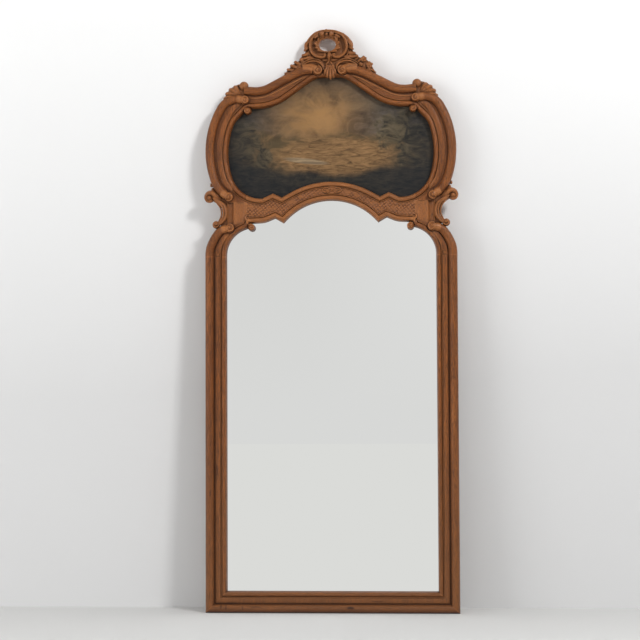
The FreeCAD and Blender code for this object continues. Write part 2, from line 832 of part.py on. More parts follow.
def neck_hollows():
    """Upright hollows cut in the neck block, a deep one beside the ear and a broad shallow one."""
    made = []
    for x, width, depth in (
            (neck_x - hollow_width / 2 - 1.0, hollow_width, hollow_depth),
            (frieze_x + panel_width / 2 + 8.0, panel_width, panel_depth)):
        radius = (width ** 2 / 4 + depth ** 2) / (2 * depth)
        centre = at(x, neck_foot_z - 1.0, ground_depth + radius - depth)
        length = neck_head_z - neck_foot_z + 2.0
        made.append(Part.makeCylinder(radius, length, centre, Vector(0, 0, 1)))
    return made


def build():
    """All pieces by name, as one shape or a list of separate solids."""
    pieces = frame_pieces()
    pegs = dowels()
    key = mitre_key()
    axis_peg = dowel(0.0, crest_z - 2.0, False)
    pocket, strap, ring, screws = hanger_parts()
    pins = brads(mirror_line, mirror_thickness) + brads(picture_line, canvas_thickness)
    bores = Part.makeCompound(pegs + [key, axis_peg] + pins + screws)
    pieces["stile"] = pieces["stile"].cut(pocket)
    for hollow in neck_hollows():
        pieces["neck"] = pieces["neck"].cut(hollow)
    pieces = {name: largest(piece.cut(bores)) for name, piece in pieces.items()}

    shell = corner_shell().cut(pieces["side"]).cut(pieces["top"])
    ear_piece = ear().cut(pieces["shoulder"]).cut(pieces["side"]).cut(pieces["neck"])
    tops = pieces["top"].fuse(mirrored(pieces["top"]))
    crest_block = largest(crest().cut(tops))
    drop_shell = largest(crest_shell().cut(tops).cut(crest_block))
    leaves = largest(crest_leaves().cut(tops).cut(crest_block))
    flowers = largest(crest_flowers().cut(tops).cut(crest_block))

    made = {}
    for name, centre in (("bottom_rail", "bottom_rail"), ("frieze", "frieze_rail")):
        half = pieces[name]
        made[centre] = half.fuse(mirrored(half)).removeSplitter()
    right = {
        "stile": pieces["stile"],
        "shoulder": pieces["shoulder"],
        "neck_block": pieces["neck"],
        "side_moulding": pieces["side"],
        "top_moulding": pieces["top"],
        "ear_scroll": largest(ear_piece),
        "corner_shell": largest(shell),
        "mitre_key": key,
        "hanger_strap": strap,
        "hanging_ring": ring,
    }
    for name, piece in right.items():
        made["right_" + name] = piece
        made["left_" + name] = mirrored(piece)
    made["crest_carving"] = crest_block
    made["crest_shell"] = drop_shell
    made["crest_leaves"] = leaves
    made["crest_flowers"] = flowers
    made["frieze_cartouche"] = largest(frieze_cartouche().cut(made["frieze_rail"]))
    made["frame_dowels"] = pegs + [mirrored(peg) for peg in pegs] + [axis_peg]
    made["hanger_screws"] = screws + [mirrored(screw) for screw in screws]
    made["backing_brads"] = pins

    seat = rebate_depth - mirror_thickness
    made["mirror_glass"] = plate(both_sides(mirror_line), seat, rebate_depth, rebate_clearance)
    seat = rebate_depth - canvas_thickness
    made["picture_canvas"] = plate(both_sides(picture_line), seat, rebate_depth, rebate_clearance)
    for i, board in enumerate(boards(mirror_line, mirror_thickness, mirror_board_count, True)):
        made["mirror_board_%d" % (i + 1)] = board
    for i, board in enumerate(boards(picture_line, canvas_thickness, picture_board_count, False)):
        made["picture_board_%d" % (i + 1)] = board
    return made


if __name__ == "__main__":
    for piece_name, piece_shape in build().items():
        if isinstance(piece_shape, list):
            piece_shape = Part.makeCompound(piece_shape)
        solid_count = len(piece_shape.Solids)
        print("%-18s %2d solids, %9.0f mm3" % (piece_name, solid_count, piece_shape.Volume),
              "" if piece_shape.isValid() else "INVALID")
        export(piece_name, piece_shape)
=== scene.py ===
"""Dress and studio for a tall carved oak mirror with a picture panel and a pierced crest."""
import logging
import math
from dataclasses import dataclass
from enum import Enum
from typing import Sequence

import bpy
from mathutils import Matrix, Vector


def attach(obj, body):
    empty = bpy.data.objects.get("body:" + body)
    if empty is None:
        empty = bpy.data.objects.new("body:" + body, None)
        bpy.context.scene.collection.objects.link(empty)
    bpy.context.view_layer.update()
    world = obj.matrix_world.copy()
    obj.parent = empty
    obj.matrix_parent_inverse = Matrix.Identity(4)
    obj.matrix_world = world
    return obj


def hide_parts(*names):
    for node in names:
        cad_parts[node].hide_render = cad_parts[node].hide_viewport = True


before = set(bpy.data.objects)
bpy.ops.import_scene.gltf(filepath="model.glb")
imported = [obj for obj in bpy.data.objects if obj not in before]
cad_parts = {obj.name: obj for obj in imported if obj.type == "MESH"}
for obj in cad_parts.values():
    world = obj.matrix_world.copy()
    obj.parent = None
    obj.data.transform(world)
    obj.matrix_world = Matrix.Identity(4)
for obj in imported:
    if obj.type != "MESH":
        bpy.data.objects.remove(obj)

LOG = logging.getLogger("trumeau")
MM = 0.001
BACK = 0.028            # the frame's flat back, metres behind the origin
BODY = "frame"

Corner = tuple[float, ...]
Mark = tuple[float, float, float]


class Hand(Enum):
    """Which half of the mirror a piece belongs to."""

    LEFT = -1
    RIGHT = 1


class Grain(Enum):
    """Direction of the wood's fibres, as the stretch of its pattern along X, Y and Z."""

    UPRIGHT = (1.0, 1.0, 0.045)
    ACROSS = (0.045, 1.0, 1.0)
    CARVED = (0.55, 0.8, 0.16)


def spot(x: float, z: float, v: float) -> Vector:
    """Point x across, z up and v forward of the back, all in millimetres."""
    return Vector((x * MM, BACK - v * MM, z * MM))


def new_piece(name: str, points: Sequence[Vector], faces: Sequence[tuple[int, ...]]) -> bpy.types.Object:
    """Mesh object made of points and faces, in the scene."""
    mesh = bpy.data.meshes.new(name)
    mesh.from_pydata(points, [], faces)
    piece = bpy.data.objects.new(name, mesh)
    bpy.context.collection.objects.link(piece)
    return piece


def deselect() -> None:
    """Leave nothing selected."""
    bpy.ops.object.select_all(action="DESELECT")


def activate(piece: bpy.types.Object) -> None:
    """Select one object alone and make it active."""
    deselect()
    piece.select_set(True)
    bpy.context.view_layer.objects.active = piece


# --- Shader building ---------------------------------------------------------------


class Weaver:
    """Short calls that add and link nodes in one node tree."""

    def __init__(self, tree: bpy.types.NodeTree) -> None:
        """Start on a tree."""
        self.tree = tree

    def put(self, socket: bpy.types.NodeSocket, value) -> None:
        """Feed a socket from another socket or with a plain value."""
        if isinstance(value, bpy.types.NodeSocket):
            self.tree.links.new(value, socket)
        elif value is not None:
            socket.default_value = value

    def node(self, kind: str, **values) -> bpy.types.Node:
        """Add a node.

        Args:
            kind: The node's type without its ShaderNode prefix.
            values: Node properties by name, or inputs as in_Name.

        Returns:
            The new node.
        """
        made = self.tree.nodes.new("ShaderNode" + kind)
        for name, value in values.items():
            if name.startswith("in_"):
                self.put(made.inputs[name[3:].replace("_", " ")], value)
            else:
                setattr(made, name, value)
        return made

    def math(self, operation: str, a, b=None) -> bpy.types.NodeSocket:
        """Result of a Math node."""
        made = self.node("Math", operation=operation)
        self.put(made.inputs[0], a)
        self.put(made.inputs[1], b)
        return made.outputs[0]

    def mix(self, share, a, b) -> bpy.types.NodeSocket:
        """Colour b over colour a by a share."""
        made = self.node("Mix", data_type="RGBA")
        self.put(made.inputs[0], share)
        self.put(made.inputs[6], a)
        self.put(made.inputs[7], b)
        return made.outputs[2]

    def span(self, value, low, high, start: float = 0.0, end: float = 1.0,
             smooth: bool = False) -> bpy.types.NodeSocket:
        """Value carried from one range to another, and clamped."""
        made = self.node("MapRange", clamp=True)
        if smooth:
            made.interpolation_type = "SMOOTHSTEP"
        for i, number in enumerate((value, low, high, start, end)):
            self.put(made.inputs[i], number)
        return made.outputs[0]

    def noise(self, vector, scale, detail: float = 3.0, rough: float = 0.5,
              twist: float = 0.0) -> bpy.types.NodeSocket:
        """Factor of a Noise texture."""
        made = self.node("TexNoise", in_Vector=vector, in_Scale=scale, in_Detail=detail,
                         in_Roughness=rough, in_Distortion=twist)
        return made.outputs[0]

    def stretch(self, vector, scale: Sequence[float], place: Sequence[float] = (0, 0, 0),
                turn: Sequence[float] = (0, 0, 0)) -> bpy.types.NodeSocket:
        """Vector through a Mapping node."""
        made = self.node("Mapping", in_Vector=vector, in_Scale=scale, in_Location=place,
                         in_Rotation=turn)
        return made.outputs[0]

    def split(self, vector) -> list[bpy.types.NodeSocket]:
        """The X, Y and Z of a vector."""
        return list(self.node("SeparateXYZ", in_Vector=vector).outputs)


def new_group(name: str, inputs: Sequence[tuple[str, str, float]],
              outputs: Sequence[tuple[str, str]]) -> tuple[Weaver, bpy.types.Node, bpy.types.Node]:
    """Start a shader group.

    Args:
        name: Group name.
        inputs: Name, socket type and default of each input.
        outputs: Name and socket type of each output.

    Returns:
        The weaver of the group, its input node and its output node.
    """
    tree = bpy.data.node_groups.new(name, "ShaderNodeTree")
    for label, kind, default in inputs:
        socket = tree.interface.new_socket(label, in_out="INPUT", socket_type=kind)
        if kind == "NodeSocketFloat":
            socket.default_value = default
    for label, kind in outputs:
        tree.interface.new_socket(label, in_out="OUTPUT", socket_type=kind)
    return Weaver(tree), tree.nodes.new("NodeGroupInput"), tree.nodes.new("NodeGroupOutput")


class SharedEffects:
    """Node groups that several finishes use."""

    def __init__(self) -> None:
        """Build every group once."""
        self.grain = self._grain()
        self.hollows = self._hollows()
        self.blotches = self._blotches()

    @staticmethod
    def _grain() -> bpy.types.NodeTree:
        """Fibres, open pores and broad figure of wood."""
        w, enter, leave = new_group(
            "wood_grain",
            [("Vector", "NodeSocketVector", 0), ("Figure Scale", "NodeSocketFloat", 18.0),
             ("Fibre Scale", "NodeSocketFloat", 420.0)],
            [("Figure", "NodeSocketFloat"), ("Fibres", "NodeSocketFloat"), ("Pores", "NodeSocketFloat")])
        vector = enter.outputs["Vector"]
        figure = w.noise(vector, enter.outputs["Figure Scale"], 4.0, 0.55, 1.4)
        fibres = w.noise(vector, enter.outputs["Fibre Scale"], 5.0, 0.65, 0.4)
        fine = w.noise(vector, w.math("MULTIPLY", enter.outputs["Fibre Scale"], 2.3), 2.0, 0.5, 0.2)
        pores = w.span(w.math("MULTIPLY", fine, fibres), 0.19, 0.25, 1.0, 0.0)
        w.put(leave.inputs["Figure"], figure)
        w.put(leave.inputs["Fibres"], fibres)
        w.put(leave.inputs["Pores"], pores)
        return w.tree

    @staticmethod
    def _hollows() -> bpy.types.NodeTree:
        """Painted shade in wide hollows, dirt and painted shade in narrow hollows, and wear that lightens
        edges.
        """
        w, enter, leave = new_group(
            "hollows_and_edges",
            [("Reach", "NodeSocketFloat", 0.008), ("Broad Reach", "NodeSocketFloat", 0.03),
             ("Edge Reach", "NodeSocketFloat", 0.004)],
            [("Hollow", "NodeSocketFloat"), ("Shade", "NodeSocketFloat"), ("Edge", "NodeSocketFloat")])
        deep = w.node("AmbientOcclusion", samples=8, in_Distance=enter.outputs["Reach"])
        broad = w.node("AmbientOcclusion", samples=8, in_Distance=enter.outputs["Broad Reach"])
        worn = w.node("AmbientOcclusion", samples=6, inside=True,
                      in_Distance=enter.outputs["Edge Reach"])
        # Hollow: narrow hollows darkened by dirt and painted shade. Shade: painted shade in wide hollows.
        # Edge: wear.
        w.put(leave.inputs["Hollow"], w.span(deep.outputs["AO"], 0.35, 0.98, 1.0, 0.0))
        w.put(leave.inputs["Shade"], w.span(broad.outputs["AO"], 0.40, 0.98, 1.0, 0.0))
        w.put(leave.inputs["Edge"], w.span(worn.outputs["AO"], 0.35, 0.95, 1.0, 0.0))
        return w.tree

    @staticmethod
    def _blotches() -> bpy.types.NodeTree:
        """Uneven patches, as dust, old polish or tarnish leaves."""
        w, enter, leave = new_group(
            "uneven_patches",
            [("Vector", "NodeSocketVector", 0), ("Scale", "NodeSocketFloat", 12.0),
             ("Spread", "NodeSocketFloat", 0.5)],
            [("Patch", "NodeSocketFloat")])
        low = w.math("SUBTRACT", 0.62, w.math("MULTIPLY", enter.outputs["Spread"], 0.3))
        patch = w.noise(enter.outputs["Vector"], enter.outputs["Scale"], 5.0, 0.6, 0.8)
        w.put(leave.inputs["Patch"], w.span(patch, low, w.math("ADD", low, 0.16)))
        return w.tree


@dataclass(frozen=True)
class Tone:
    """One colour, as red, green and blue on the shader."""

    red: float
    green: float
    blue: float

    @property
    def rgba(self) -> tuple[float, float, float, float]:
        """The tone with full cover."""
        return (self.red, self.green, self.blue, 1.0)


class Finish:
    """A material with its weaver, surface shader and object coordinates."""

    def __init__(self, name: str, effects: SharedEffects) -> None:
        """Start the material."""
        self.effects = effects
        self.material = bpy.data.materials.new(name)
        self.material.use_nodes = True
        tree = self.material.node_tree
        tree.nodes.clear()
        self.w = Weaver(tree)
        self.surface = self.w.node("BsdfPrincipled")
        output = self.w.node("OutputMaterial")
        tree.links.new(self.surface.outputs[0], output.inputs[0])
        self.place = self.w.node("TexCoord").outputs["Object"]

    def group(self, tree: bpy.types.NodeTree, **values) -> bpy.types.Node:
        """Place a shared group with its own values."""
        made = self.w.node("Group", node_tree=tree)
        for label, value in values.items():
            self.w.put(made.inputs[label.replace("_", " ")], value)
        return made

    def relief(self, height, distance: float, strength: float = 1.0) -> None:
        """Bump the surface by a height."""
        made = self.w.node("Bump", in_Height=height, in_Distance=distance, in_Strength=strength)
        self.w.put(self.surface.inputs["Normal"], made.outputs[0])


@dataclass(frozen=True)
class OakTones:
    """Colours of waxed old oak."""

    worn: Tone = Tone(0.58, 0.235, 0.080)
    light: Tone = Tone(0.46, 0.154, 0.035)
    middle: Tone = Tone(0.255, 0.078, 0.017)
    dark: Tone = Tone(0.085, 0.024, 0.006)
    # Darker brown mixed into the lower frame: painted shade.
    brown: Tone = Tone(0.170, 0.073, 0.028)
    pore: Tone = Tone(0.030, 0.012, 0.006)
    hollow: Tone = Tone(0.022, 0.009, 0.005)


@dataclass(frozen=True)
class OakWear:
    """Shares by which dirt, rubbing, painted shade and painted light change one kind of oak."""

    rubbed: float = 0.0         # worn tone over the whole face, lightening it; on the carved oak partly painted light
    edge: float = 0.35          # worn tone on edges
    shade: float = 0.62         # painted shade in wide hollows
    hollow: float = 0.90        # dirt and painted shade in narrow hollows
    punched: float = 0.0        # dark tone in the punched ground


@dataclass(frozen=True)
class Blemish:
    """A dark mark in the wood: its middle and half sizes in millimetres, and how dark it is."""

    x: float
    z: float
    width: float
    height: float
    depth: float


BLEMISHES = (
    Blemish(-462, 1268, 5, 22, 0.55),
    Blemish(-478, 1120, 3, 30, 0.4),
    Blemish(-455, 560, 6, 34, 0.6),
    Blemish(-480, 470, 4, 16, 0.5),
    Blemish(-378, 62, 34, 5, 0.75),
    Blemish(-400, 38, 26, 6, 0.6),
    Blemish(-300, 24, 30, 4, 0.4),
    Blemish(-438, 26, 5, 12, 0.55),
    Blemish(-418, 22, 4, 13, 0.5),
    Blemish(-352, 20, 4, 10, 0.45),
    Blemish(-330, 66, 16, 3, 0.6),
    Blemish(72, 22, 17, 6, 0.85),
    Blemish(180, 46, 28, 3, 0.5),
    Blemish(446, 905, 3, 26, 0.5),
    Blemish(478, 1340, 4, 18, 0.45),
)


class OakFinish(Finish):
    """Waxed old oak with open grain, hollows darkened by dirt and painted shade, and rubbed edges."""

    lozenge = 0.0105            # width of one punched lozenge, metres
    lozenge_turn = 38.0         # degrees
    ground_y = -0.010           # where the frieze's flat ground lies
    brown_foot = (0.04, 0.90)   # heights between which the painted shade, a darker brown, fades up from the foot
    brown_share = 0.5

    def __init__(self, name: str, effects: SharedEffects, grain: Grain, marked: bool = False,
                 wear: OakWear = OakWear(), tones: OakTones = OakTones()) -> None:
        """Weave the material.

        Args:
            name: Material name.
            effects: Shared node groups.
            grain: Direction of the fibres.
            marked: Whether the knots and knocks of the lower frame show.
            wear: Shares of dirt, rubbing, painted shade and painted light.
            tones: Colours of the wood.
        """
        super().__init__(name, effects)
        w = self.w
        along = w.stretch(self.place, grain.value)
        wood = self.group(effects.grain, Vector=along, Figure_Scale=26.0, Fibre_Scale=520.0)
        edge = self.group(effects.hollows, Reach=0.008, Broad_Reach=0.032, Edge_Reach=0.004)
        patch = self.group(effects.blotches, Vector=self.place, Scale=9.0, Spread=0.6)
        base = w.mix(w.span(wood.outputs["Figure"], 0.32, 0.68), tones.dark.rgba, tones.light.rgba)
        base = w.mix(0.45, base, tones.middle.rgba)
        streak = w.span(wood.outputs["Fibres"], 0.38, 0.62)
        base = w.mix(w.math("MULTIPLY", w.math("SUBTRACT", 1.0, streak), 0.42), base, tones.dark.rgba)
        base = w.mix(w.math("MULTIPLY", wood.outputs["Pores"], 0.7), base, tones.pore.rgba)
        base = w.mix(w.math("MULTIPLY", patch.outputs["Patch"], 0.28), base, tones.middle.rgba)
        # Darker, browner towards the foot: painted shade of the lower frame.
        low = w.span(w.split(self.place)[2], *self.brown_foot, self.brown_share, 0.0)
        base = w.mix(low, base, tones.brown.rgba)
        if marked:
            base = w.mix(self._marks(), base, tones.hollow.rgba)
        base = w.mix(w.math("MULTIPLY", edge.outputs["Edge"], wear.edge), base, tones.worn.rgba)
        height = w.math("SUBTRACT", wood.outputs["Fibres"], wood.outputs["Pores"])
        # Whole face lightened with the worn tone: rubbing, and on the carved oak partly painted light.
        if wear.rubbed:
            base = w.mix(wear.rubbed, base, tones.worn.rgba)
        if wear.punched:
            punch = self._diaper()
            base = w.mix(w.math("MULTIPLY", punch, wear.punched), base, tones.dark.rgba)
            height = w.math("SUBTRACT", height, w.math("MULTIPLY", punch, 3.5))
        # Painted shade in wide hollows, then dirt and painted shade in narrow hollows.
        base = w.mix(w.math("MULTIPLY", edge.outputs["Shade"], wear.shade), base, tones.dark.rgba)
        base = w.mix(w.math("MULTIPLY", edge.outputs["Hollow"], wear.hollow), base, tones.hollow.rgba)
        w.put(self.surface.inputs["Base Color"], base)
        polish = w.span(wood.outputs["Fibres"], 0.3, 0.7, 0.46, 0.31)
        dirt = w.math("MULTIPLY", edge.outputs["Hollow"], 0.25)
        w.put(self.surface.inputs["Roughness"], w.math("ADD", polish, dirt))
        self.surface.inputs["Specular IOR Level"].default_value = 0.25
        self.relief(height, 0.0005, 0.55)

    def _marks(self) -> bpy.types.NodeSocket:
        """Mask of the knots and knocks."""
        w = self.w
        x, _, z = w.split(self.place)
        ragged = w.math("MULTIPLY", w.math("SUBTRACT", w.noise(self.place, 160.0, 4.0, 0.7), 0.5), 1.6)
        mask = None
        for mark in BLEMISHES:
            dx = w.math("DIVIDE", w.math("SUBTRACT", x, mark.x * MM), mark.width * MM)
            dz = w.math("DIVIDE", w.math("SUBTRACT", z, mark.z * MM), mark.height * MM)
            away = w.math("ADD", w.math("MULTIPLY", dx, dx), w.math("MULTIPLY", dz, dz))
            one = w.span(w.math("ADD", away, ragged), 0.35, 1.1, mark.depth, 0.0)
            mask = one if mask is None else w.math("MAXIMUM", mask, one)
        return mask

    def _diaper(self) -> bpy.types.NodeSocket:
        """Small punched lozenges on the flat ground."""
        w = self.w
        turned = w.stretch(self.place, (1, 1, 1), turn=(0, math.radians(self.lozenge_turn), 0))
        x, _, z = w.split(turned)
        pits = []
        for axis in (x, z):
            wave = w.math("SINE", w.math("MULTIPLY", axis, 2 * math.pi / self.lozenge))
            pits.append(w.span(wave, 0.1, 0.9))
        net = w.math("MAXIMUM", *pits)
        uneven = w.noise(self.place, 60.0, 2.0)
        net = w.math("MULTIPLY", net, w.span(uneven, 0.3, 0.6))
        off_ground = w.math("ABSOLUTE", w.math("SUBTRACT", w.split(self.place)[1], self.ground_y))
        flat = w.span(off_ground, 0.0004, 0.0012, 1.0, 0.0)
        return w.math("MULTIPLY", net, flat)


class MirrorFinish(Finish):
    """Silvered plate glass, clear and flat."""

    clear = Tone(0.905, 0.912, 0.905)
    hazed = Tone(0.86, 0.87, 0.86)

    def __init__(self, name: str, effects: SharedEffects) -> None:
        """Weave the material."""
        super().__init__(name, effects)
        self.surface.inputs["Metallic"].default_value = 1.0
        w = self.w
        patch = self.group(effects.blotches, Vector=self.place, Scale=3.0, Spread=0.2)
        haze = w.math("MULTIPLY", patch.outputs["Patch"], 0.05)
        w.put(self.surface.inputs["Base Color"], w.mix(haze, self.clear.rgba, self.hazed.rgba))
        w.put(self.surface.inputs["Roughness"], w.math("MULTIPLY", patch.outputs["Patch"], 0.012))


@dataclass(frozen=True)
class MetalFinish:
    """Plain values of one metal."""

    name: str
    bright: Tone
    dull: Tone
    rough: float

    def build(self, effects: SharedEffects) -> bpy.types.Material:
        """Weave the metal with tarnish and fine scratches."""
        finish = Finish(self.name, effects)
        w = finish.w
        patch = finish.group(effects.blotches, Vector=finish.place, Scale=140.0, Spread=0.7)
        w.put(finish.surface.inputs["Base Color"],
              w.mix(patch.outputs["Patch"], self.bright.rgba, self.dull.rgba))
        finish.surface.inputs["Metallic"].default_value = 1.0
        w.put(finish.surface.inputs["Roughness"],
              w.span(patch.outputs["Patch"], 0.0, 1.0, self.rough, self.rough + 0.25))
        finish.relief(w.noise(w.stretch(finish.place, (1, 1, 12)), 900.0, 3.0), 0.0001, 0.3)
        return finish.material


class BoardFinish(Finish):
    """Raw backing boards, greyed by age."""

    dark = Tone(0.17, 0.105, 0.055)
    light = Tone(0.36, 0.25, 0.14)
    pore = Tone(0.08, 0.05, 0.03)
    dust = Tone(0.20, 0.17, 0.13)

    def __init__(self, name: str, effects: SharedEffects, grain: Grain) -> None:
        """Weave the material."""
        super().__init__(name, effects)
        w = self.w
        along = w.stretch(self.place, grain.value)
        wood = self.group(effects.grain, Vector=along, Figure_Scale=22.0, Fibre_Scale=300.0)
        patch = self.group(effects.blotches, Vector=self.place, Scale=5.0, Spread=0.6)
        base = w.mix(w.span(wood.outputs["Figure"], 0.3, 0.7), self.dark.rgba, self.light.rgba)
        base = w.mix(w.math("MULTIPLY", wood.outputs["Pores"], 0.5), base, self.pore.rgba)
        base = w.mix(w.math("MULTIPLY", patch.outputs["Patch"], 0.35), base, self.dust.rgba)
        w.put(self.surface.inputs["Base Color"], base)
        w.put(self.surface.inputs["Roughness"], w.span(wood.outputs["Fibres"], 0.3, 0.7, 0.85, 0.7))
        self.relief(wood.outputs["Fibres"], 0.0005, 0.5)


@dataclass(frozen=True)
class Region:
    """Oval part of the picture: its middle and its half width and height, in metres."""

    x: float
    z: float
    wide: float
    tall: float


class PictureFinish(Finish):
    """Varnished canvas with a misty evening landscape: hills, a pool in a field, trees at both sides."""

    middle_height = 1.88
    glow = Region(-0.06, 1.97, 0.27, 0.25)
    core = Region(-0.02, 1.955, 0.13, 0.10)
    field = Region(0.02, 1.80, 0.37, 0.13)
    pool = Region(-0.10, 1.775, 0.13, 0.016)
    whole = Region(0.0, 1.88, 0.54, 0.36)
    trees = (
        Region(0.265, 1.905, 0.10, 0.09), Region(0.34, 1.85, 0.09, 0.12), Region(0.30, 1.97, 0.06, 0.05),
        Region(-0.34, 1.86, 0.075, 0.10), Region(-0.27, 1.80, 0.04, 0.045))

    dusk, haze = Tone(0.016, 0.016, 0.018), Tone(0.120, 0.094, 0.066)
    mist = Tone(0.140, 0.118, 0.108)
    sky, sun = Tone(0.30, 0.160, 0.060), Tone(0.40, 0.215, 0.085)
    hill_dark, hill_light = Tone(0.075, 0.052, 0.026), Tone(0.20, 0.118, 0.052)
    field_dark, field_light = Tone(0.085, 0.050, 0.024), Tone(0.31, 0.170, 0.072)
    water_dark, water_light = Tone(0.14, 0.105, 0.07), Tone(0.34, 0.25, 0.15)
    near_dark, near_light = Tone(0.010, 0.012, 0.014), Tone(0.040, 0.034, 0.026)
    leaf_dark, leaf_light = Tone(0.016, 0.016, 0.014), Tone(0.125, 0.096, 0.056)
    rim = Tone(0.012, 0.014, 0.017)
    varnish = Tone(0.24, 0.18, 0.11)

    def __init__(self, name: str, effects: SharedEffects) -> None:
        """Weave the material."""
        super().__init__(name, effects)
        w = self.w
        self.x, _, self.z = w.split(self.place)
        self.soft = w.noise(w.stretch(self.place, (1, 1, 1.3)), 6.0, 5.0, 0.62, 1.4)
        self.brush = w.noise(w.stretch(self.place, (0.5, 1, 2.2), turn=(0, 0.25, 0)), 40.0, 5.0, 0.62, 1.0)
        self.fog = w.noise(w.stretch(self.place, (1, 1, 1.5), place=(3, 0, 1)), 12.0, 5.0, 0.6, 1.8)
        tint = self._foreground(self._land(self._sky()))
        w.put(self.surface.inputs["Base Color"], tint)
        w.put(self.surface.inputs["Roughness"], w.span(self.brush, 0.3, 0.7, 0.62, 0.48))
        self.surface.inputs["Specular IOR Level"].default_value = 0.12
        self.relief(self._paint_height(), 0.0006, 0.5)

    def _sky(self) -> bpy.types.NodeSocket:
        """Dark clouds, mist and the warm light behind them."""
        w = self.w
        drift = w.math("MULTIPLY", w.math("SUBTRACT", self.fog, 0.5), 0.6)
        cloud = w.span(w.math("ADD", self.soft, drift), 0.25, 0.62)
        tint = w.mix(w.span(self.soft, 0.34, 0.66), self.dusk.rgba, self.haze.rgba)
        tint = w.mix(w.math("MULTIPLY", w.span(self.fog, 0.5, 0.75), 0.55), tint, self.mist.rgba)
        glow = w.math("MULTIPLY", w.math("POWER", self._round(self.glow), 0.7),
                      w.math("ADD", 0.35, w.math("MULTIPLY", cloud, 0.65)))
        tint = w.mix(glow, tint, self.sky.rgba)
        return w.mix(w.math("MULTIPLY", self._round(self.core), 0.55), tint, self.sun.rgba)

    def _land(self, tint: bpy.types.NodeSocket) -> bpy.types.NodeSocket:
        """Far hills, the lit field and the pool in it, over the sky."""
        w = self.w
        up = w.math("SUBTRACT", self.z, self.middle_height)
        far = w.mix(w.span(self.fog, 0.4, 0.65), self.hill_dark.rgba, self.hill_light.rgba)
        tint = w.mix(w.math("MULTIPLY", self._ridge(up, 0.010, 0.20, 5.0, 2.0, 0.014), 0.85), tint, far)
        field = w.mix(w.span(self.brush, 0.32, 0.68), self.field_dark.rgba, self.field_light.rgba)
        patchy = w.math("MULTIPLY", w.math("SUBTRACT", self.fog, 0.5), 0.5)
        lit = w.span(w.math("ADD", self._round(self.field), patchy), 0.10, 0.55, smooth=True)
        tint = w.mix(lit, tint, field)
        level = w.math("ADD", self.z, w.math("MULTIPLY", self.x, 0.12))
        water = w.math("MULTIPLY", self._round(self.pool, level), 1.8)
        glint = w.noise(w.stretch(self.place, (0.4, 1, 6)), 30.0, 3.0, 0.6)
        pool = w.mix(w.span(glint, 0.4, 0.6), self.water_dark.rgba, self.water_light.rgba)
        tint = w.mix(w.span(water, 0.2, 0.8, 0.0, 0.8), tint, pool)
        bowl = w.math("MULTIPLY", w.math("MULTIPLY", self.x, self.x), 0.5)
        near = self._ridge(w.math("SUBTRACT", up, bowl), -0.150, 0.15, 4.0, 11.0, 0.020)
        return w.mix(near, tint, w.mix(w.span(self.fog, 0.4, 0.7), self.near_dark.rgba, self.near_light.rgba))

    def _foreground(self, tint: bpy.types.NodeSocket) -> bpy.types.NodeSocket:
        """Trees at both sides, the darkened rim and the varnish, over the land."""
        w = self.w
        for tree in self.trees:
            crown = w.mix(w.span(self.fog, 0.40, 0.62), self.leaf_dark.rgba, self.leaf_light.rgba)
            tint = w.mix(w.math("MULTIPLY", self._tree(tree), 0.85), tint, crown)
        inner = w.span(self._round(self.whole), 0.05, 0.62)
        tint = w.mix(w.math("SUBTRACT", 1.0, inner), tint, self.rim.rgba)
        return w.mix(w.math("MULTIPLY", w.span(self.brush, 0.35, 0.7), 0.10), tint, self.varnish.rgba)

    def _paint_height(self) -> bpy.types.NodeSocket:
        """Brushwork, the canvas's threads and fine cracks."""
        w = self.w
        cells = w.node("TexVoronoi", feature="DISTANCE_TO_EDGE", in_Vector=self.place, in_Scale=120.0)
        cracks = w.span(cells.outputs["Distance"], 0.0, 0.03, 1.0, 0.0)
        threads = [w.math("SINE", w.math("MULTIPLY", axis, 5200.0)) for axis in (self.x, self.z)]
        weave = w.math("ADD", *threads)
        height = w.math("ADD", w.math("MULTIPLY", self.brush, 1.2), w.math("MULTIPLY", weave, 0.06))
        return w.math("SUBTRACT", height, w.math("MULTIPLY", cracks, 0.5))

    def _away(self, region: Region, z: bpy.types.NodeSocket) -> bpy.types.NodeSocket:
        """Square of the distance from a region's middle, 1 at its rim."""
        w = self.w
        dx = w.math("DIVIDE", w.math("SUBTRACT", self.x, region.x), region.wide)
        dz = w.math("DIVIDE", w.math("SUBTRACT", z, region.z), region.tall)
        return w.math("ADD", w.math("MULTIPLY", dx, dx), w.math("MULTIPLY", dz, dz))

    def _round(self, region: Region, z: bpy.types.NodeSocket | None = None) -> bpy.types.NodeSocket:
        """Soft oval, 1 at its middle and 0 at its rim, at its own height or at a given one."""
        away = self.w.math("SQRT", self._away(region, self.z if z is None else z))
        return self.w.span(away, 0.0, 1.0, 1.0, 0.0, smooth=True)

    def _tree(self, region: Region) -> bpy.types.NodeSocket:
        """A ragged crown of leaves."""
        w = self.w
        ragged = w.math("MULTIPLY", w.math("SUBTRACT", w.noise(self.place, 26.0, 4.0, 0.6), 0.5), 3.4)
        return w.span(w.math("ADD", self._away(region, self.z), ragged), 0.45, 1.05, 1.0, 0.0, smooth=True)

    def _ridge(self, up: bpy.types.NodeSocket, level: float, swing: float, scale: float, place: float,
               blur: float) -> bpy.types.NodeSocket:
        """Everything below a rolling line.

        Args:
            up: Height over the picture's middle.
            level: Mean height of the line.
            swing: How far the line rises and falls.
            scale: How often it does.
            place: Where in the noise the line is cut.
            blur: Softness of its edge.

        Returns:
            1 below the line and 0 above it.
        """
        w = self.w
        line = w.node("CombineXYZ", in_X=self.x, in_Y=place)
        roll = w.noise(line.outputs[0], scale, 4.0, 0.5)
        top = w.math("ADD", level, w.math("MULTIPLY", w.math("SUBTRACT", roll, 0.5), swing))
        return w.span(w.math("SUBTRACT", up, top), -blur, blur, 1.0, 0.0, smooth=True)


# --- Routes and mouldings ------------------------------------------------------------


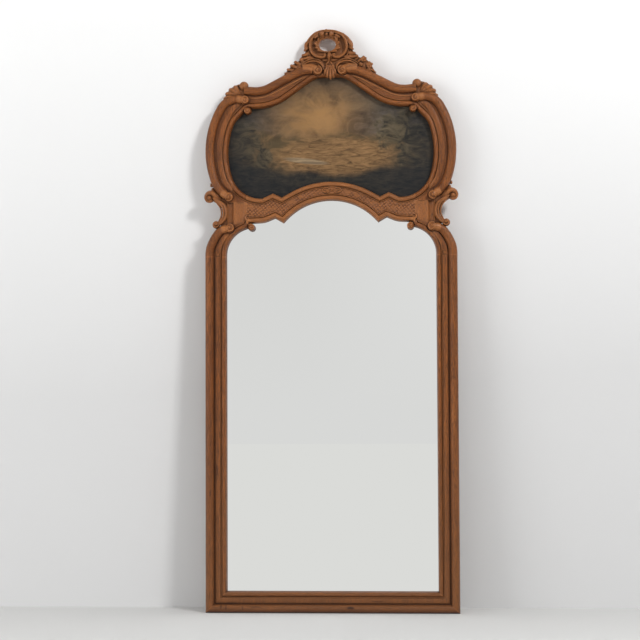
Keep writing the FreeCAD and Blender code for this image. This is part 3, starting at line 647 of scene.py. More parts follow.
@dataclass(frozen=True)
class Route:
    """A line over the face of the frame: straight runs joined by tangent arcs."""

    corners: Sequence[Corner]
    closed: bool = False
    step: float = 4.0

    def stations(self, offset: float = 0.0) -> list[tuple[float, float, float, float]]:
        """Points along the line.

        Args:
            offset: Distance to the left of the line at which the points lie.

        Returns:
            For each point its x and z, and the x and z of the leftward normal, longer at a mitre.
        """
        corners = self.corners
        count = len(corners)
        runs = count if self.closed else count - 1
        ways, lengths = [], []
        for i in range(runs):
            a, b = corners[i], corners[(i + 1) % count]
            length = math.hypot(b[0] - a[0], b[1] - a[1])
            ways.append(((b[0] - a[0]) / length, (b[1] - a[1]) / length))
            lengths.append(length)
        turns, reach = [0.0] * count, [0.0] * count
        for i in range(count):
            if self.closed or 0 < i < count - 1:
                (ax, az), (bx, bz) = ways[i - 1], ways[i]
                turns[i] = math.atan2(ax * bz - az * bx, ax * bx + az * bz)
                if len(corners[i]) > 2:
                    reach[i] = corners[i][2] * abs(math.tan(turns[i] / 2))
        room = [1.0] * count
        for i in range(runs):
            j = (i + 1) % count
            share = lengths[i] / max(reach[i] + reach[j], lengths[i])
            room[i], room[j] = min(room[i], share), min(room[j], share)
        found = []
        for i in range(count):
            point = corners[i]
            before = ways[i - 1] if self.closed or i > 0 else ways[0]
            after = ways[i] if i < runs else ways[-1]
            hold = reach[i] * room[i]
            if hold <= 0:
                spread = 1.0 + before[0] * after[0] + before[1] * after[1]
                found.append((point[0], point[1], -(before[1] + after[1]) / spread,
                              (before[0] + after[0]) / spread))
                continue
            radius = hold / math.tan(turns[i] / 2)
            start = (point[0] - before[0] * hold, point[1] - before[1] * hold)
            centre = (start[0] - before[1] * radius, start[1] + before[0] * radius)
            pieces = max(3, int(abs(turns[i] * radius) / self.step))
            for k in range(pieces + 1):
                angle = turns[i] * k / pieces
                cosine, sine = math.cos(angle), math.sin(angle)
                dx, dz = start[0] - centre[0], start[1] - centre[1]
                way = (before[0] * cosine - before[1] * sine, before[0] * sine + before[1] * cosine)
                found.append((centre[0] + dx * cosine - dz * sine,
                              centre[1] + dx * sine + dz * cosine, -way[1], way[0]))
        return [(x + nx * offset, z + nz * offset, nx, nz) for x, z, nx, nz in found]

    def mirrored(self) -> "Route":
        """The same line on the other side of the axis, run the other way."""
        return Route([(-c[0],) + tuple(c[1:]) for c in reversed(self.corners)], self.closed, self.step)


@dataclass
class Moulding:
    """A carved strip of one section along a route."""

    name: str
    route: Route
    section: Sequence[tuple[float, float]]      # across and forward, millimetres
    offset: float = 0.0
    taper: float = 0.0                          # length over which an open end dies away

    def build(self, material: bpy.types.Material) -> bpy.types.Object:
        """Skin the strip and set it on the frame."""
        stations = self.route.stations(self.offset)
        sizes = self._sizes(stations)
        points, faces = [], []
        ring = len(self.section)
        floor = min(v for _, v in self.section)
        for (x, z, nx, nz), size in zip(stations, sizes):
            for u, v in self.section:
                points.append(spot(x + nx * u * size, z + nz * u * size, floor + (v - floor) * size))
        count = len(stations)
        for i in range(count if self.route.closed else count - 1):
            a, b = i * ring, (i + 1) % count * ring
            for k in range(ring):
                n = (k + 1) % ring
                faces.append((a + k, b + k, b + n, a + n))
        if not self.route.closed:
            faces.append(tuple(range(ring)))
            faces.append(tuple(range((count - 1) * ring, count * ring))[::-1])
        return seat(new_piece(self.name, points, faces), material, angle=38.0)

    def _sizes(self, stations: Sequence[tuple[float, float, float, float]]) -> list[float]:
        """Share of the section's full size at each station."""
        if self.route.closed or not self.taper:
            return [1.0] * len(stations)
        run = [0.0]
        for a, b in zip(stations, stations[1:]):
            run.append(run[-1] + math.hypot(b[0] - a[0], b[1] - a[1]))
        sizes = []
        for along in run:
            near = min(along, run[-1] - along) / self.taper
            sizes.append(1.0 if near >= 1 else 0.25 + 0.75 * math.sin(near * math.pi / 2))
        return sizes


def outward(piece: bpy.types.Object) -> None:
    """Merge doubled points and turn every face outwards."""
    activate(piece)
    bpy.ops.object.mode_set(mode="EDIT")
    bpy.ops.mesh.select_all(action="SELECT")
    bpy.ops.mesh.remove_doubles(threshold=1e-5)
    bpy.ops.mesh.normals_make_consistent(inside=False)
    bpy.ops.object.mode_set(mode="OBJECT")


def seat(piece: bpy.types.Object, material: bpy.types.Material, *nodes: str,
         angle: float = 60.0) -> bpy.types.Object:
    """Give a finished piece its material, smooth it and let it ride the frame.

    Args:
        piece: The finished mesh object, its place in its mesh.
        material: Its finish.
        nodes: Solids that the piece stands for.
        angle: Angle in degrees above which an edge stays sharp.

    Returns:
        The same object.
    """
    outward(piece)
    bpy.ops.object.shade_smooth_by_angle(angle=math.radians(angle))
    piece.data.materials.clear()
    piece.data.materials.append(material)
    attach(piece, BODY)
    if nodes:
        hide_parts(*nodes)
    LOG.info("%s: %d faces", piece.name, len(piece.data.polygons))
    return piece


def half_round(width: float, low: float, high: float, steps: int = 10,
               bulge: float = 0.8) -> list[tuple[float, float]]:
    """Section of a strip with a rounded front, flatter where bulge is small."""
    half = width / 2
    arc = [(half * math.cos(math.pi * i / steps), low + (high - low) * math.sin(math.pi * i / steps) ** bulge)
           for i in range(steps + 1)]
    return [(half, low - 2.0)] + arc + [(-half, low - 2.0)]


# --- Carving -------------------------------------------------------------------------


class Carver:
    """Gathers overlapping lobes and strokes of one carving, and skins them as one."""

    def __init__(self, name: str, flip: bool = False) -> None:
        """Start an empty carving.

        Args:
            name: Name of the piece.
            flip: Whether every x is taken on the other side of the axis.
        """
        self.name = name
        self.side = -1 if flip else 1
        self.parts: list[bpy.types.Object] = []

    def point(self, x: float, z: float, v: float) -> Vector:
        """Place on the carving's own side."""
        return spot(x * self.side, z, v)

    def ball(self, x: float, z: float, v: float, radius: float, depth: float = 1.0) -> None:
        """Round button, squeezed in depth."""
        bpy.ops.mesh.primitive_uv_sphere_add(segments=24, ring_count=14, radius=radius * MM)
        piece = bpy.context.object
        piece.matrix_world = Matrix.Translation(self.point(x, z, v)) @ Matrix.Diagonal((1, depth, 1, 1))
        self.parts.append(piece)

    def stroke(self, marks: Sequence[Mark], radii: Sequence[float], depth: float = 1.0) -> None:
        """Tapered round stroke through marks.

        Args:
            marks: x, z and v of the control points, in millimetres.
            radii: Radius at each of them.
            depth: Squeeze of the stroke in depth, about its mean v.
        """
        curve = bpy.data.curves.new(self.name + "_stroke", "CURVE")
        curve.dimensions = "3D"
        curve.bevel_depth = MM
        curve.bevel_resolution = 3
        curve.use_fill_caps = True
        curve.resolution_u = 5
        line = curve.splines.new("NURBS")
        line.points.add(len(marks) - 1)
        mean = sum(mark[2] for mark in marks) / len(marks)
        for knot, (x, z, v), radius in zip(line.points, marks, radii):
            place = self.point(x, z, mean + (v - mean) / depth)
            knot.co = (*place, 1.0)
            knot.radius = radius
        line.order_u = 3
        line.use_endpoint_u = True
        piece = bpy.data.objects.new(self.name + "_stroke", curve)
        bpy.context.collection.objects.link(piece)
        activate(piece)
        bpy.ops.object.convert(target="MESH")
        piece = bpy.context.object
        centre = BACK - mean * MM
        for vertex in piece.data.vertices:
            vertex.co.y = centre + (vertex.co.y - centre) * depth
        self.parts.append(piece)

    def _block(self, label: str, outline: Sequence[tuple[float, float]], low: float,
               high: float) -> bpy.types.Object:
        """Closed block with one outline between two depths."""
        count = len(outline)
        points = [self.point(x, z, v) for v in (low, high) for x, z in outline]
        faces = [tuple(range(count)), tuple(range(2 * count - 1, count - 1, -1))]
        faces += [(i, i + count, (i + 1) % count + count, (i + 1) % count) for i in range(count)]
        piece = new_piece(self.name + label, points, faces)
        outward(piece)
        return piece

    def slab(self, outline: Sequence[tuple[float, float]], low: float, high: float,
             hole: Sequence[tuple[float, float]] = ()) -> None:
        """Flat ground between two depths, pierced where a hole's outline is given."""
        piece = self._block("_slab", outline, low, high)
        if hole:
            cutter = self._block("_cutter", hole, low - 20, high + 40)
            activate(piece)
            made = piece.modifiers.new("pierce", "BOOLEAN")
            made.operation, made.solver, made.object = "DIFFERENCE", "EXACT", cutter
            bpy.ops.object.modifier_apply(modifier="pierce")
            bpy.data.objects.remove(cutter)
        self.parts.append(piece)

    def frond(self, start: tuple[float, float], bend: tuple[float, float], tip: tuple[float, float],
              width: float, v: float, rise: float = 4.0) -> None:
        """Acanthus lobe: a full blade with a raised rib and two side folds, curling at its tip."""
        (sx, sz), (bx, bz), (tx, tz) = start, bend, tip
        length = math.hypot(tx - sx, tz - sz)
        ax, az = (tx - sx) / length, (tz - sz) / length
        self.stroke([(sx, sz, v), (bx, bz, v + rise), (tx, tz, v + rise * 1.1)],
                    [width * 0.30, width * 0.44, width * 0.25], 0.75)
        self.ball(tx - ax * width * 0.16, tz - az * width * 0.16, v + rise * 1.1, width * 0.33)
        for share, reach in ((0.25, 0.42), (0.55, 0.36)):
            mx, mz = sx + (tx + bx - 2 * sx) * share / 2, sz + (tz + bz - 2 * sz) * share / 2
            for hand in (-1, 1):
                ox, oz = (-az * hand + ax * 0.5) * width * reach, (ax * hand + az * 0.5) * width * reach
                self.stroke([(mx, mz, v + rise * 0.6), (mx + ox * 0.7, mz + oz * 0.7, v + rise * 1.1),
                             (mx + ox * 1.15, mz + oz * 1.15, v + rise * 0.3)],
                            [width * 0.13, width * 0.20, width * 0.13], 0.85)

    def fronds(self, rows: Sequence[Sequence[float]], v: float, rise: float) -> None:
        """Several lobes.

        Args:
            rows: For each lobe the x and z of its start, its bend and its tip, and its width.
            v: Depth of every lobe at its start.
            rise: How far each comes forward.
        """
        for sx, sz, bx, bz, tx, tz, width in rows:
            self.frond((sx, sz), (bx, bz), (tx, tz), width, v, rise)

    def spiral(self, x: float, z: float, v: float, radius: float, wire: float, start: float,
               turns: float, lift: float = 0.0) -> None:
        """Coil of a volute, winding in from its rim to its eye.

        Args:
            x: Across.
            z: Up.
            v: Depth of the coil's centre line at the rim.
            radius: Radius of the coil's centre line at the rim.
            wire: Thickness of the coil at the rim.
            start: Angle of the rim's end in degrees.
            turns: Turns to the eye, negative the other way round.
            lift: Rise from rim to eye.
        """
        count = max(8, int(abs(turns) * 14))
        marks, radii = [], []
        for i in range(count + 1):
            share = i / count
            angle = math.radians(start) + turns * 2 * math.pi * share
            reach = radius * (1 - 0.82 * share)
            marks.append((x + reach * math.cos(angle), z + reach * math.sin(angle), v + lift * share))
            radii.append(wire * (1 - 0.55 * share))
        self.stroke(marks, radii)
        self.ball(x, z, v + lift, wire * 0.95)

    def finish(self, voxel: float, smooth: int) -> bpy.types.Object:
        """Join, skin and smooth the carving.

        Args:
            voxel: Size of the skin's cells in millimetres.
            smooth: Rounds of smoothing.

        Returns:
            The carving as one closed mesh.
        """
        deselect()
        for part in self.parts:
            part.select_set(True)
        bpy.context.view_layer.objects.active = self.parts[0]
        bpy.ops.object.transform_apply(location=True, rotation=True, scale=True)
        bpy.ops.object.join()
        piece = bpy.context.object
        piece.name = self.name
        piece.data.name = self.name
        skin = piece.modifiers.new("skin", "REMESH")
        skin.mode, skin.voxel_size, skin.use_smooth_shade = "VOXEL", voxel * MM, True
        bpy.ops.object.modifier_apply(modifier="skin")
        ease = piece.modifiers.new("ease", "SMOOTH")
        ease.factor, ease.iterations = 0.5, smooth
        bpy.ops.object.modifier_apply(modifier="ease")
        return piece


def smooth_outline(corners: Sequence[Corner], closed: bool = True) -> list[tuple[float, float]]:
    """Outline with tangent arcs at its corners."""
    return [(x, z) for x, z, _, _ in Route(corners, closed).stations()]


def oval(x: float, z: float, half_width: float, half_height: float,
         count: int = 40) -> list[tuple[float, float]]:
    """Points round an oval."""
    return [(x + half_width * math.cos(2 * math.pi * i / count),
             z + half_height * math.sin(2 * math.pi * i / count)) for i in range(count)]


@dataclass
class EarScroll:
    """C-scroll beside the neck: three reeds between two coiled volutes, a leaf sheath and a bud."""

    hand: Hand
    foot: tuple[float, float] = (457.0, 1534.0)
    head: tuple[float, float] = (484.0, 1645.0)
    bud: tuple[float, float] = (480.0, 1693.0)

    def build(self, material: bpy.types.Material) -> bpy.types.Object:
        """Carve the scroll."""
        name = self.hand.name.lower() + "_ear_scroll"
        c = Carver(name + "_carving", self.hand is Hand.LEFT)
        (fx, fz), (hx, hz), (bx, bz) = self.foot, self.head, self.bud
        c.slab([(411.5, 1532), (426, 1524), (446, 1536), (434, 1560), (431, 1580), (434, 1600),
                (450, 1616), (484, 1640), (474, 1664), (446, 1650), (424, 1640), (411.5, 1626)], 2, 34)
        for x, radius, v in ((436.5, 3.4, 40), (428.0, 3.8, 44), (418.0, 5.6, 43), (413.0, 2.6, 38)):
            lean = x - 424
            c.stroke([(fx - 4 + lean * 0.5, fz - 6, v - 4), (x + 9, 1546, v), (x - 3, 1572, v), (x, 1600, v),
                      (x + 14 + lean * 0.3, 1622, v), (hx - 16 + lean * 0.2, 1640 + lean * 0.2, v)],
                     [radius * 0.8, radius, radius, radius, radius, radius * 0.8])
        c.ball(fx, fz, 33, 15.5, 0.95)
        c.spiral(fx, fz, 46, 11.5, 3.8, 200, 1.2, 5)
        c.ball(hx, hz - 2, 24, 20.0, 0.9)
        c.stroke([(hx - 32, hz - 14, 32), (hx - 23, hz + 6, 38), (hx - 8, hz + 19, 38),
                  (hx + 10, hz + 13, 36), (hx + 17, hz - 3, 34), (hx + 9, hz - 18, 33),
                  (hx - 5, hz - 18, 34), (hx - 10, hz - 8, 36)],
                 [9, 11, 11, 8.5, 6, 5, 4.4, 3.6])
        c.ball(hx, hz - 3, 42, 8.2, 1.0)
        c.stroke([(440, 1634, 30), (456, 1650, 33), (468, 1664, 33), (472, 1682, 28)], [10, 14, 12, 5], 0.8)
        c.stroke([(452, 1634, 38), (462, 1650, 43), (463, 1668, 38)], [3, 4.4, 2.5], 0.9)
        c.ball(bx - 4, bz - 1, 26, 6.6)
        c.stroke([(bx - 4, bz, 28), (bx + 1, bz + 5, 30), (bx - 3, bz + 8, 28)], [4, 3, 1.5])
        return seat(c.finish(1.0, 2), material, name)


@dataclass
class CornerShell:
    """Fluted shell in the corner over the cartouche's shoulder, and the knob beside it."""

    hand: Hand
    focus: tuple[float, float] = (356.0, 2052.0)
    knob: tuple[float, float] = (345.0, 2089.0)

    def build(self, material: bpy.types.Material) -> bpy.types.Object:
        """Carve the shell."""
        name = self.hand.name.lower() + "_corner_shell"
        c = Carver(name + "_carving", self.hand is Hand.LEFT)
        fx, fz = self.focus
        c.slab([(345, 2056), (424, 2038), (417, 2060), (404, 2077), (386, 2091), (366, 2098), (347, 2098)],
               2, 30)
        c.slab([(338, 2046), (414, 2042), (404, 2066), (384, 2082), (352, 2086), (338, 2070)], 20, 39)
        for tx, tz, radius in ((424, 2041, 8.5), (415, 2060, 10.0), (400, 2076, 11.0), (382, 2087, 10.5)):
            mx, mz = (fx * 0.42 + tx * 0.58), (fz * 0.42 + tz * 0.58)
            c.stroke([(fx, fz, 32), (mx, mz, 43), (tx - (tx - fx) * 0.10, tz - (tz - fz) * 0.10, 38),
                      (tx, tz, 26)], [5.0, radius * 0.85, radius, radius * 0.75])
            c.stroke([(mx, mz, 50), (tx - (tx - fx) * 0.06, tz - (tz - fz) * 0.06, 48)], [1.6, 2.4])
        kx, kz = self.knob
        c.ball(kx, kz, 34, 18.5, 0.98)
        c.spiral(kx, kz, 44, 13.5, 4.2, 20, -1.1, 5)
        return seat(c.finish(1.15, 3), material, name)


@dataclass
class Crest:
    """Pierced cresting: rimmed eye, C-scrolls, buds and leaves."""

    eye: tuple[float, float] = (-10.0, 2249.0)
    eye_half: tuple[float, float] = (34.0, 26.0)
    crown_x: float = -14.0          # the crest's highest point

    def build(self, material: bpy.types.Material) -> bpy.types.Object:
        """Carve the crest."""
        c = Carver("crest_carving_relief")
        outline = smooth_outline([
            (-14, 2309), (-42, 2305, 30), (-66, 2291, 30), (-90, 2260, 40), (-100, 2236, 12), (-98, 2222, 10),
            (-122, 2196, 8), (-124, 2150, 20), (124, 2150, 20), (114, 2202, 8), (90, 2226, 10),
            (90, 2246, 12), (82, 2266, 40), (60, 2287, 40), (38, 2300, 30)])
        c.slab(outline, 4, 31, oval(*self.eye, *self.eye_half))
        self._wreath(c)
        self._scrolls(c)
        self._outer_leaves(c)
        for hand in (-1, 1):
            self._volute_arcs(c, hand)
        self._crown(c)
        self._drop(c)
        return seat(c.finish(1.15, 2), material, "crest_carving")

    def _wreath(self, c: Carver) -> None:
        """Leafy wreath round the eye: a plain lip with uneven leaves lying round it."""
        ex, ez = self.eye
        wide, tall = self.eye_half
        lip = oval(ex, ez, wide + 3.0, tall + 3.0, 28)
        c.stroke([(x, z, 37) for x, z in lip + lip[:2]], [3.4] * 30)
        leaves, first, pitch = 17, -62, 18.5
        for i in range(leaves):
            start = math.radians(first + i * pitch + 5 * math.sin(i * 2.1))
            way = 1 if i > leaves // 2 else -1
            out = 11.0 + 3.0 * math.sin(i * 1.9)
            size = 4.6 + 1.1 * math.sin(i * 2.7)
            marks = []
            for share in (0.0, 0.5, 1.0):
                angle = start - way * 0.42 * share
                reach = 4.5 + out * share
                marks.append((ex + (wide + reach) * math.cos(angle), ez + (tall + reach) * math.sin(angle),
                              38 + 5 * share))
            c.stroke(marks, [size * 0.7, size, size * 0.75])

    def _inner_line(self, marks: Sequence[tuple[float, float]], middle: float, narrow: float) -> list[Mark]:
        """Marks of a thin reed that follows a roll on its inner side."""
        level = self.eye[1]
        return [(middle + (x - middle) * narrow, level + (z - level) * 0.90, 43) for x, z in marks]

    def _scrolls(self, c: Carver) -> None:
        """C-scrolls that hold the eye, coiled at their feet, and the plain outer roll."""
        left = [(-56, 2290), (-72, 2274), (-80, 2250), (-77, 2226), (-66, 2208), (-48, 2198), (-30, 2196),
                (-18, 2201), (-19, 2210), (-27, 2209)]
        right = [(44, 2290), (60, 2274), (69, 2250), (67, 2226), (56, 2208), (40, 2198), (24, 2197),
                 (13, 2202), (14, 2210), (22, 2210)]
        for marks in (left, right):
            c.stroke([(x, z, 48) for x, z in marks], [3.0, 4.2, 4.8, 4.8, 4.8, 4.6, 4.4, 4.2, 3.4, 2.6])
            c.stroke(self._inner_line(marks[1:7], self.eye[0], 0.94), [1.6, 2.4, 2.6, 2.6, 2.4, 1.6])
            c.ball(marks[-2][0] * 1.05, marks[-2][1] - 3, 43, 8.0, 0.9)
        outer = [(-99, 2230), (-93, 2254), (-80, 2274), (-62, 2292), (-42, 2303), (-14, 2307), (14, 2305),
                 (38, 2297), (60, 2284), (78, 2266), (87, 2246), (87, 2228)]
        c.stroke([(x, z, 38) for x, z in outer], [4.5, 6.0, 7.0, 7.0, 6.0, 5.0, 5.0, 6.0, 7.0, 7.0, 6.0, 4.5])
        c.stroke(self._inner_line(outer[1:-1], self.crown_x, 0.93),
                 [1.4, 2.2, 2.4, 2.0, 1.2, 1.2, 2.0, 2.4, 2.2, 1.4])

    @staticmethod
    def _outer_leaves(c: Carver) -> None:
        """Leaves that stand off the outer roll and hang to the mouldings."""
        c.fronds((
            (-78, 2244, -92, 2236, -102, 2226, 14), (-72, 2222, -90, 2212, -110, 2206, 18),
            (-66, 2204, -88, 2196, -114, 2192, 18), (-94, 2262, -100, 2250, -100, 2238, 9),
            (-50, 2206, -64, 2198, -82, 2196, 12), (-80, 2186, -98, 2180, -112, 2168, 13),
            (68, 2244, 82, 2238, 93, 2229, 14), (62, 2222, 80, 2212, 100, 2212, 18),
            (56, 2204, 80, 2196, 110, 2202, 18), (84, 2264, 90, 2252, 91, 2240, 9),
            (44, 2206, 58, 2198, 74, 2196, 12), (76, 2186, 92, 2180, 106, 2168, 13)), 36, 5)

    @staticmethod
    def _volute_arcs(c: Carver, hand: int) -> None:
        """Two ridges that sweep over the end of the top moulding."""
        for lift, radius, v in ((0, 3.4, 48), (9, 3.0, 44)):
            marks = [(108 + lift * 0.5, 2164 + lift), (90, 2180 + lift), (62, 2184 + lift), (40, 2177 + lift),
                     (28 - lift * 0.4, 2163 + lift * 0.6), (24 - lift * 0.5, 2146)]
            c.stroke([(x * hand, z, v) for x, z in marks],
                     [radius * share for share in (0.6, 1, 1, 1, 1, 0.7)])

    @staticmethod
    def _crown(c: Carver) -> None:
        """Two buds, the bead between them and the knob on top."""
        c.ball(-31, 2291, 49, 10.8, 1.0)
        c.ball(7, 2290, 49, 10.2, 1.0)
        c.ball(-12, 2290, 52, 6.0, 0.9)
        c.ball(-14, 2307, 38, 6.0, 1.0)
        c.fronds((
            (-40, 2288, -50, 2286, -60, 2276, 12), (16, 2288, 28, 2287, 40, 2278, 12),
            (-18, 2284, -26, 2280, -40, 2278, 8), (-4, 2284, 6, 2280, 18, 2278, 8)), 42, 4)

    @staticmethod
    def _drop(c: Carver) -> None:
        """Three-lobed leaf under the eye, and the curls below it."""
        c.stroke([(-3, 2222, 44), (-3, 2206, 55), (-3, 2190, 47), (-3, 2180, 42)], [2.0, 6.5, 4.0, 1.5])
        for hand in (-1, 1):
            for marks, radii in (
                    ([(2, 2216, 46), (9, 2206, 50), (7, 2194, 45)], [2, 3.8, 1.6]),
                    ([(6, 2188, 42), (18, 2184, 44), (30, 2190, 40)], [2.5, 4, 2]),
                    ([(3, 2180, 42), (15, 2170, 46), (12, 2156, 42)], [2, 4.5, 2.5])):
                c.stroke([(-2 + x * hand, z, v) for x, z, v in marks], radii)


@dataclass
class DropShell:
    """Fluted shell that hangs from the crest between the two crest volutes."""

    def build(self, material: bpy.types.Material) -> bpy.types.Object:
        """Carve the shell."""
        c = Carver("crest_shell_relief")
        for sx, sz, mx, mz, tx, tz, radius in (
                (-3, 2166, -18, 2148, -19, 2130, 5.4), (-2, 2166, -10, 2142, -9, 2118, 5.8),
                (0, 2167, 2, 2138, 3, 2112, 6.0), (2, 2166, 13, 2142, 14, 2117, 5.8),
                (3, 2166, 21, 2148, 22, 2130, 5.4)):
            c.stroke([(sx, sz, 43), (mx, mz, 55), (tx, tz, 50), (tx, tz - 1, 44)],
                     [2.0, radius * 0.85, radius, radius * 0.6])
        for hand in (-1, 1):
            curl = ((3, 2152, 48), (9, 2164, 52), (17, 2160, 50), (15, 2151, 50))
            c.stroke([(1 + x * hand, z, v) for x, z, v in curl], [2.5, 3.8, 3.4, 2.0])
        c.ball(1, 2160, 48, 6.0)
        c.slab([(-19, 2160), (21, 2160), (20, 2124), (3, 2113), (-17, 2124)], 36, 47)
        return seat(c.finish(0.9, 2), material, "crest_shell")


@dataclass
class LeafSpray:
    """Acanthus spray lying along the left top moulding."""

    def build(self, material: bpy.types.Material) -> bpy.types.Object:
        """Carve the spray."""
        c = Carver("crest_leaves_relief")
        c.slab([(-96, 2184), (-118, 2192), (-148, 2174), (-170, 2152), (-190, 2122), (-150, 2122),
                (-100, 2158)], 8, 32)
        c.fronds((
            (-98, 2170, -108, 2184, -118, 2193, 19), (-112, 2164, -126, 2176, -140, 2182, 20),
            (-126, 2154, -142, 2164, -156, 2168, 19), (-140, 2144, -156, 2150, -170, 2152, 18),
            (-152, 2134, -168, 2136, -180, 2136, 16), (-166, 2124, -178, 2122, -190, 2119, 13),
            (-104, 2164, -116, 2158, -130, 2154, 13), (-128, 2150, -140, 2144, -154, 2138, 13),
            (-148, 2138, -158, 2130, -170, 2124, 12)), 34, 6)
        return seat(c.finish(1.1, 2), material, "crest_leaves")


@dataclass
class FlowerSpray:
    """Blossoms and leaves lying along the right top moulding."""

    blossoms: Sequence[Corner] = (
        (134.0, 2190.0, 12.0), (157.0, 2166.0, 13.5), (156.0, 2144.0, 11.0), (122.0, 2168.0, 9.0))

    def build(self, material: bpy.types.Material) -> bpy.types.Object:
        """Carve the spray."""
        c = Carver("crest_flowers_relief")
        c.slab([(86, 2182), (112, 2198), (138, 2196), (160, 2174), (176, 2146), (188, 2122), (150, 2122),
                (96, 2160)], 8, 34)
        for x, z, radius in self.blossoms:
            c.ball(x, z, 40, radius * 0.36)
            for i in range(5):
                angle = 2 * math.pi * (i / 5 + 0.05)
                c.ball(x + radius * 0.64 * math.cos(angle), z + radius * 0.64 * math.sin(angle), 38,
                       radius * 0.46, 0.8)
        c.fronds((
            (94, 2184, 104, 2192, 114, 2198, 13), (108, 2176, 118, 2188, 130, 2192, 12),
            (162, 2148, 174, 2142, 182, 2134, 12), (168, 2132, 178, 2124, 190, 2116, 11),
            (98, 2170, 108, 2162, 124, 2152, 11), (132, 2152, 144, 2142, 158, 2130, 11)), 33, 5)
        return seat(c.finish(1.0, 2), material, "crest_flowers")


@dataclass
class FriezeCartouche:
    """Small oval of scrolled leaves over the arch."""

    x: float = 5.0
    z: float = 1667.0

    def build(self, material: bpy.types.Material) -> bpy.types.Object:
        """Carve the cartouche."""
        c = Carver("frieze_cartouche_relief")
        c.slab(oval(self.x, self.z, 39, 14), 37, 39.5)
        rim = oval(self.x, self.z, 38, 13.5, 24)
        c.stroke([(x, z, 40) for x, z in rim + rim[:2]], [1.8] * 26)
        c.ball(self.x, self.z, 41, 5.0, 0.7)
        for hand in (-1, 1):
            for dx, dz, ex, ez in ((6, 2, 18, 9), (6, -2, 18, -9), (10, 0, 31, 3), (14, -2, 30, -6)):
                c.frond((self.x + dx * hand, self.z + dz),
                        (self.x + (dx + ex) / 2 * hand, self.z + (dz + ez) * 0.7),
                        (self.x + ex * hand, self.z + ez), 6.5, 40, 1.5)
        return seat(c.finish(0.7, 1), material, "frieze_cartouche")


# Marks of a coil's neck: distance in radii, drop in millimetres, and share of the arch's rise.
ARCHED_NECK = ((0.25, 0.0, 0.4), (1.1, 0.5, 1.0), (1.9, 2.0, 0.9), (2.8, 5.0, 0.2))
LEVEL_NECK = ((0.25, 0.0, 0.0), (0.9, 0.5, 0.0), (1.75, 4.5, 0.0))


@dataclass
class VoluteCoil:
    """Carved coil over the knob in which a moulding ends."""

    name: str
    x: float
    z: float
    radius: float
    crown: float
    start: float
    turns: float
    lead: float | None = None       # angle in degrees at which the moulding arrives
    arch: float = 0.0               # rise of the moulding over its own end

    def build(self, material: bpy.types.Material) -> bpy.types.Object:
        """Carve the coil on the knob's round front, and the neck that leads into it."""
        c = Carver(self.name)
        centre = self.crown - self.radius
        if self.lead is not None:
            way = (math.cos(math.radians(self.lead)), math.sin(math.radians(self.lead)))
            neck = self.radius * 0.8
            course = ARCHED_NECK if self.arch else LEVEL_NECK
            top = self.crown - 1.5 - neck
            c.stroke([(self.x + way[0] * self.radius * out,
                       self.z + way[1] * self.radius * out + self.arch * lift,
                       top - drop) for out, drop, lift in course], [neck] * len(course))
        marks, radii = [], []
        count = int(abs(self.turns) * 18)
        for i in range(count + 1):
            share = i / count
            angle = math.radians(self.start) + 2 * math.pi * self.turns * share
            reach = self.radius * (0.96 - 0.74 * share)
            depth = centre + math.sqrt(self.radius ** 2 - reach ** 2)
            marks.append((self.x + reach * math.cos(angle), self.z + reach * math.sin(angle), depth))
            radii.append(self.radius * (0.17 - 0.08 * share))
        c.stroke(marks, radii)
        c.ball(self.x, self.z, self.crown - 0.6, self.radius * 0.17)
        return seat(c.finish(0.6, 2), material)


# --- The frame's mouldings -----------------------------------------------------------


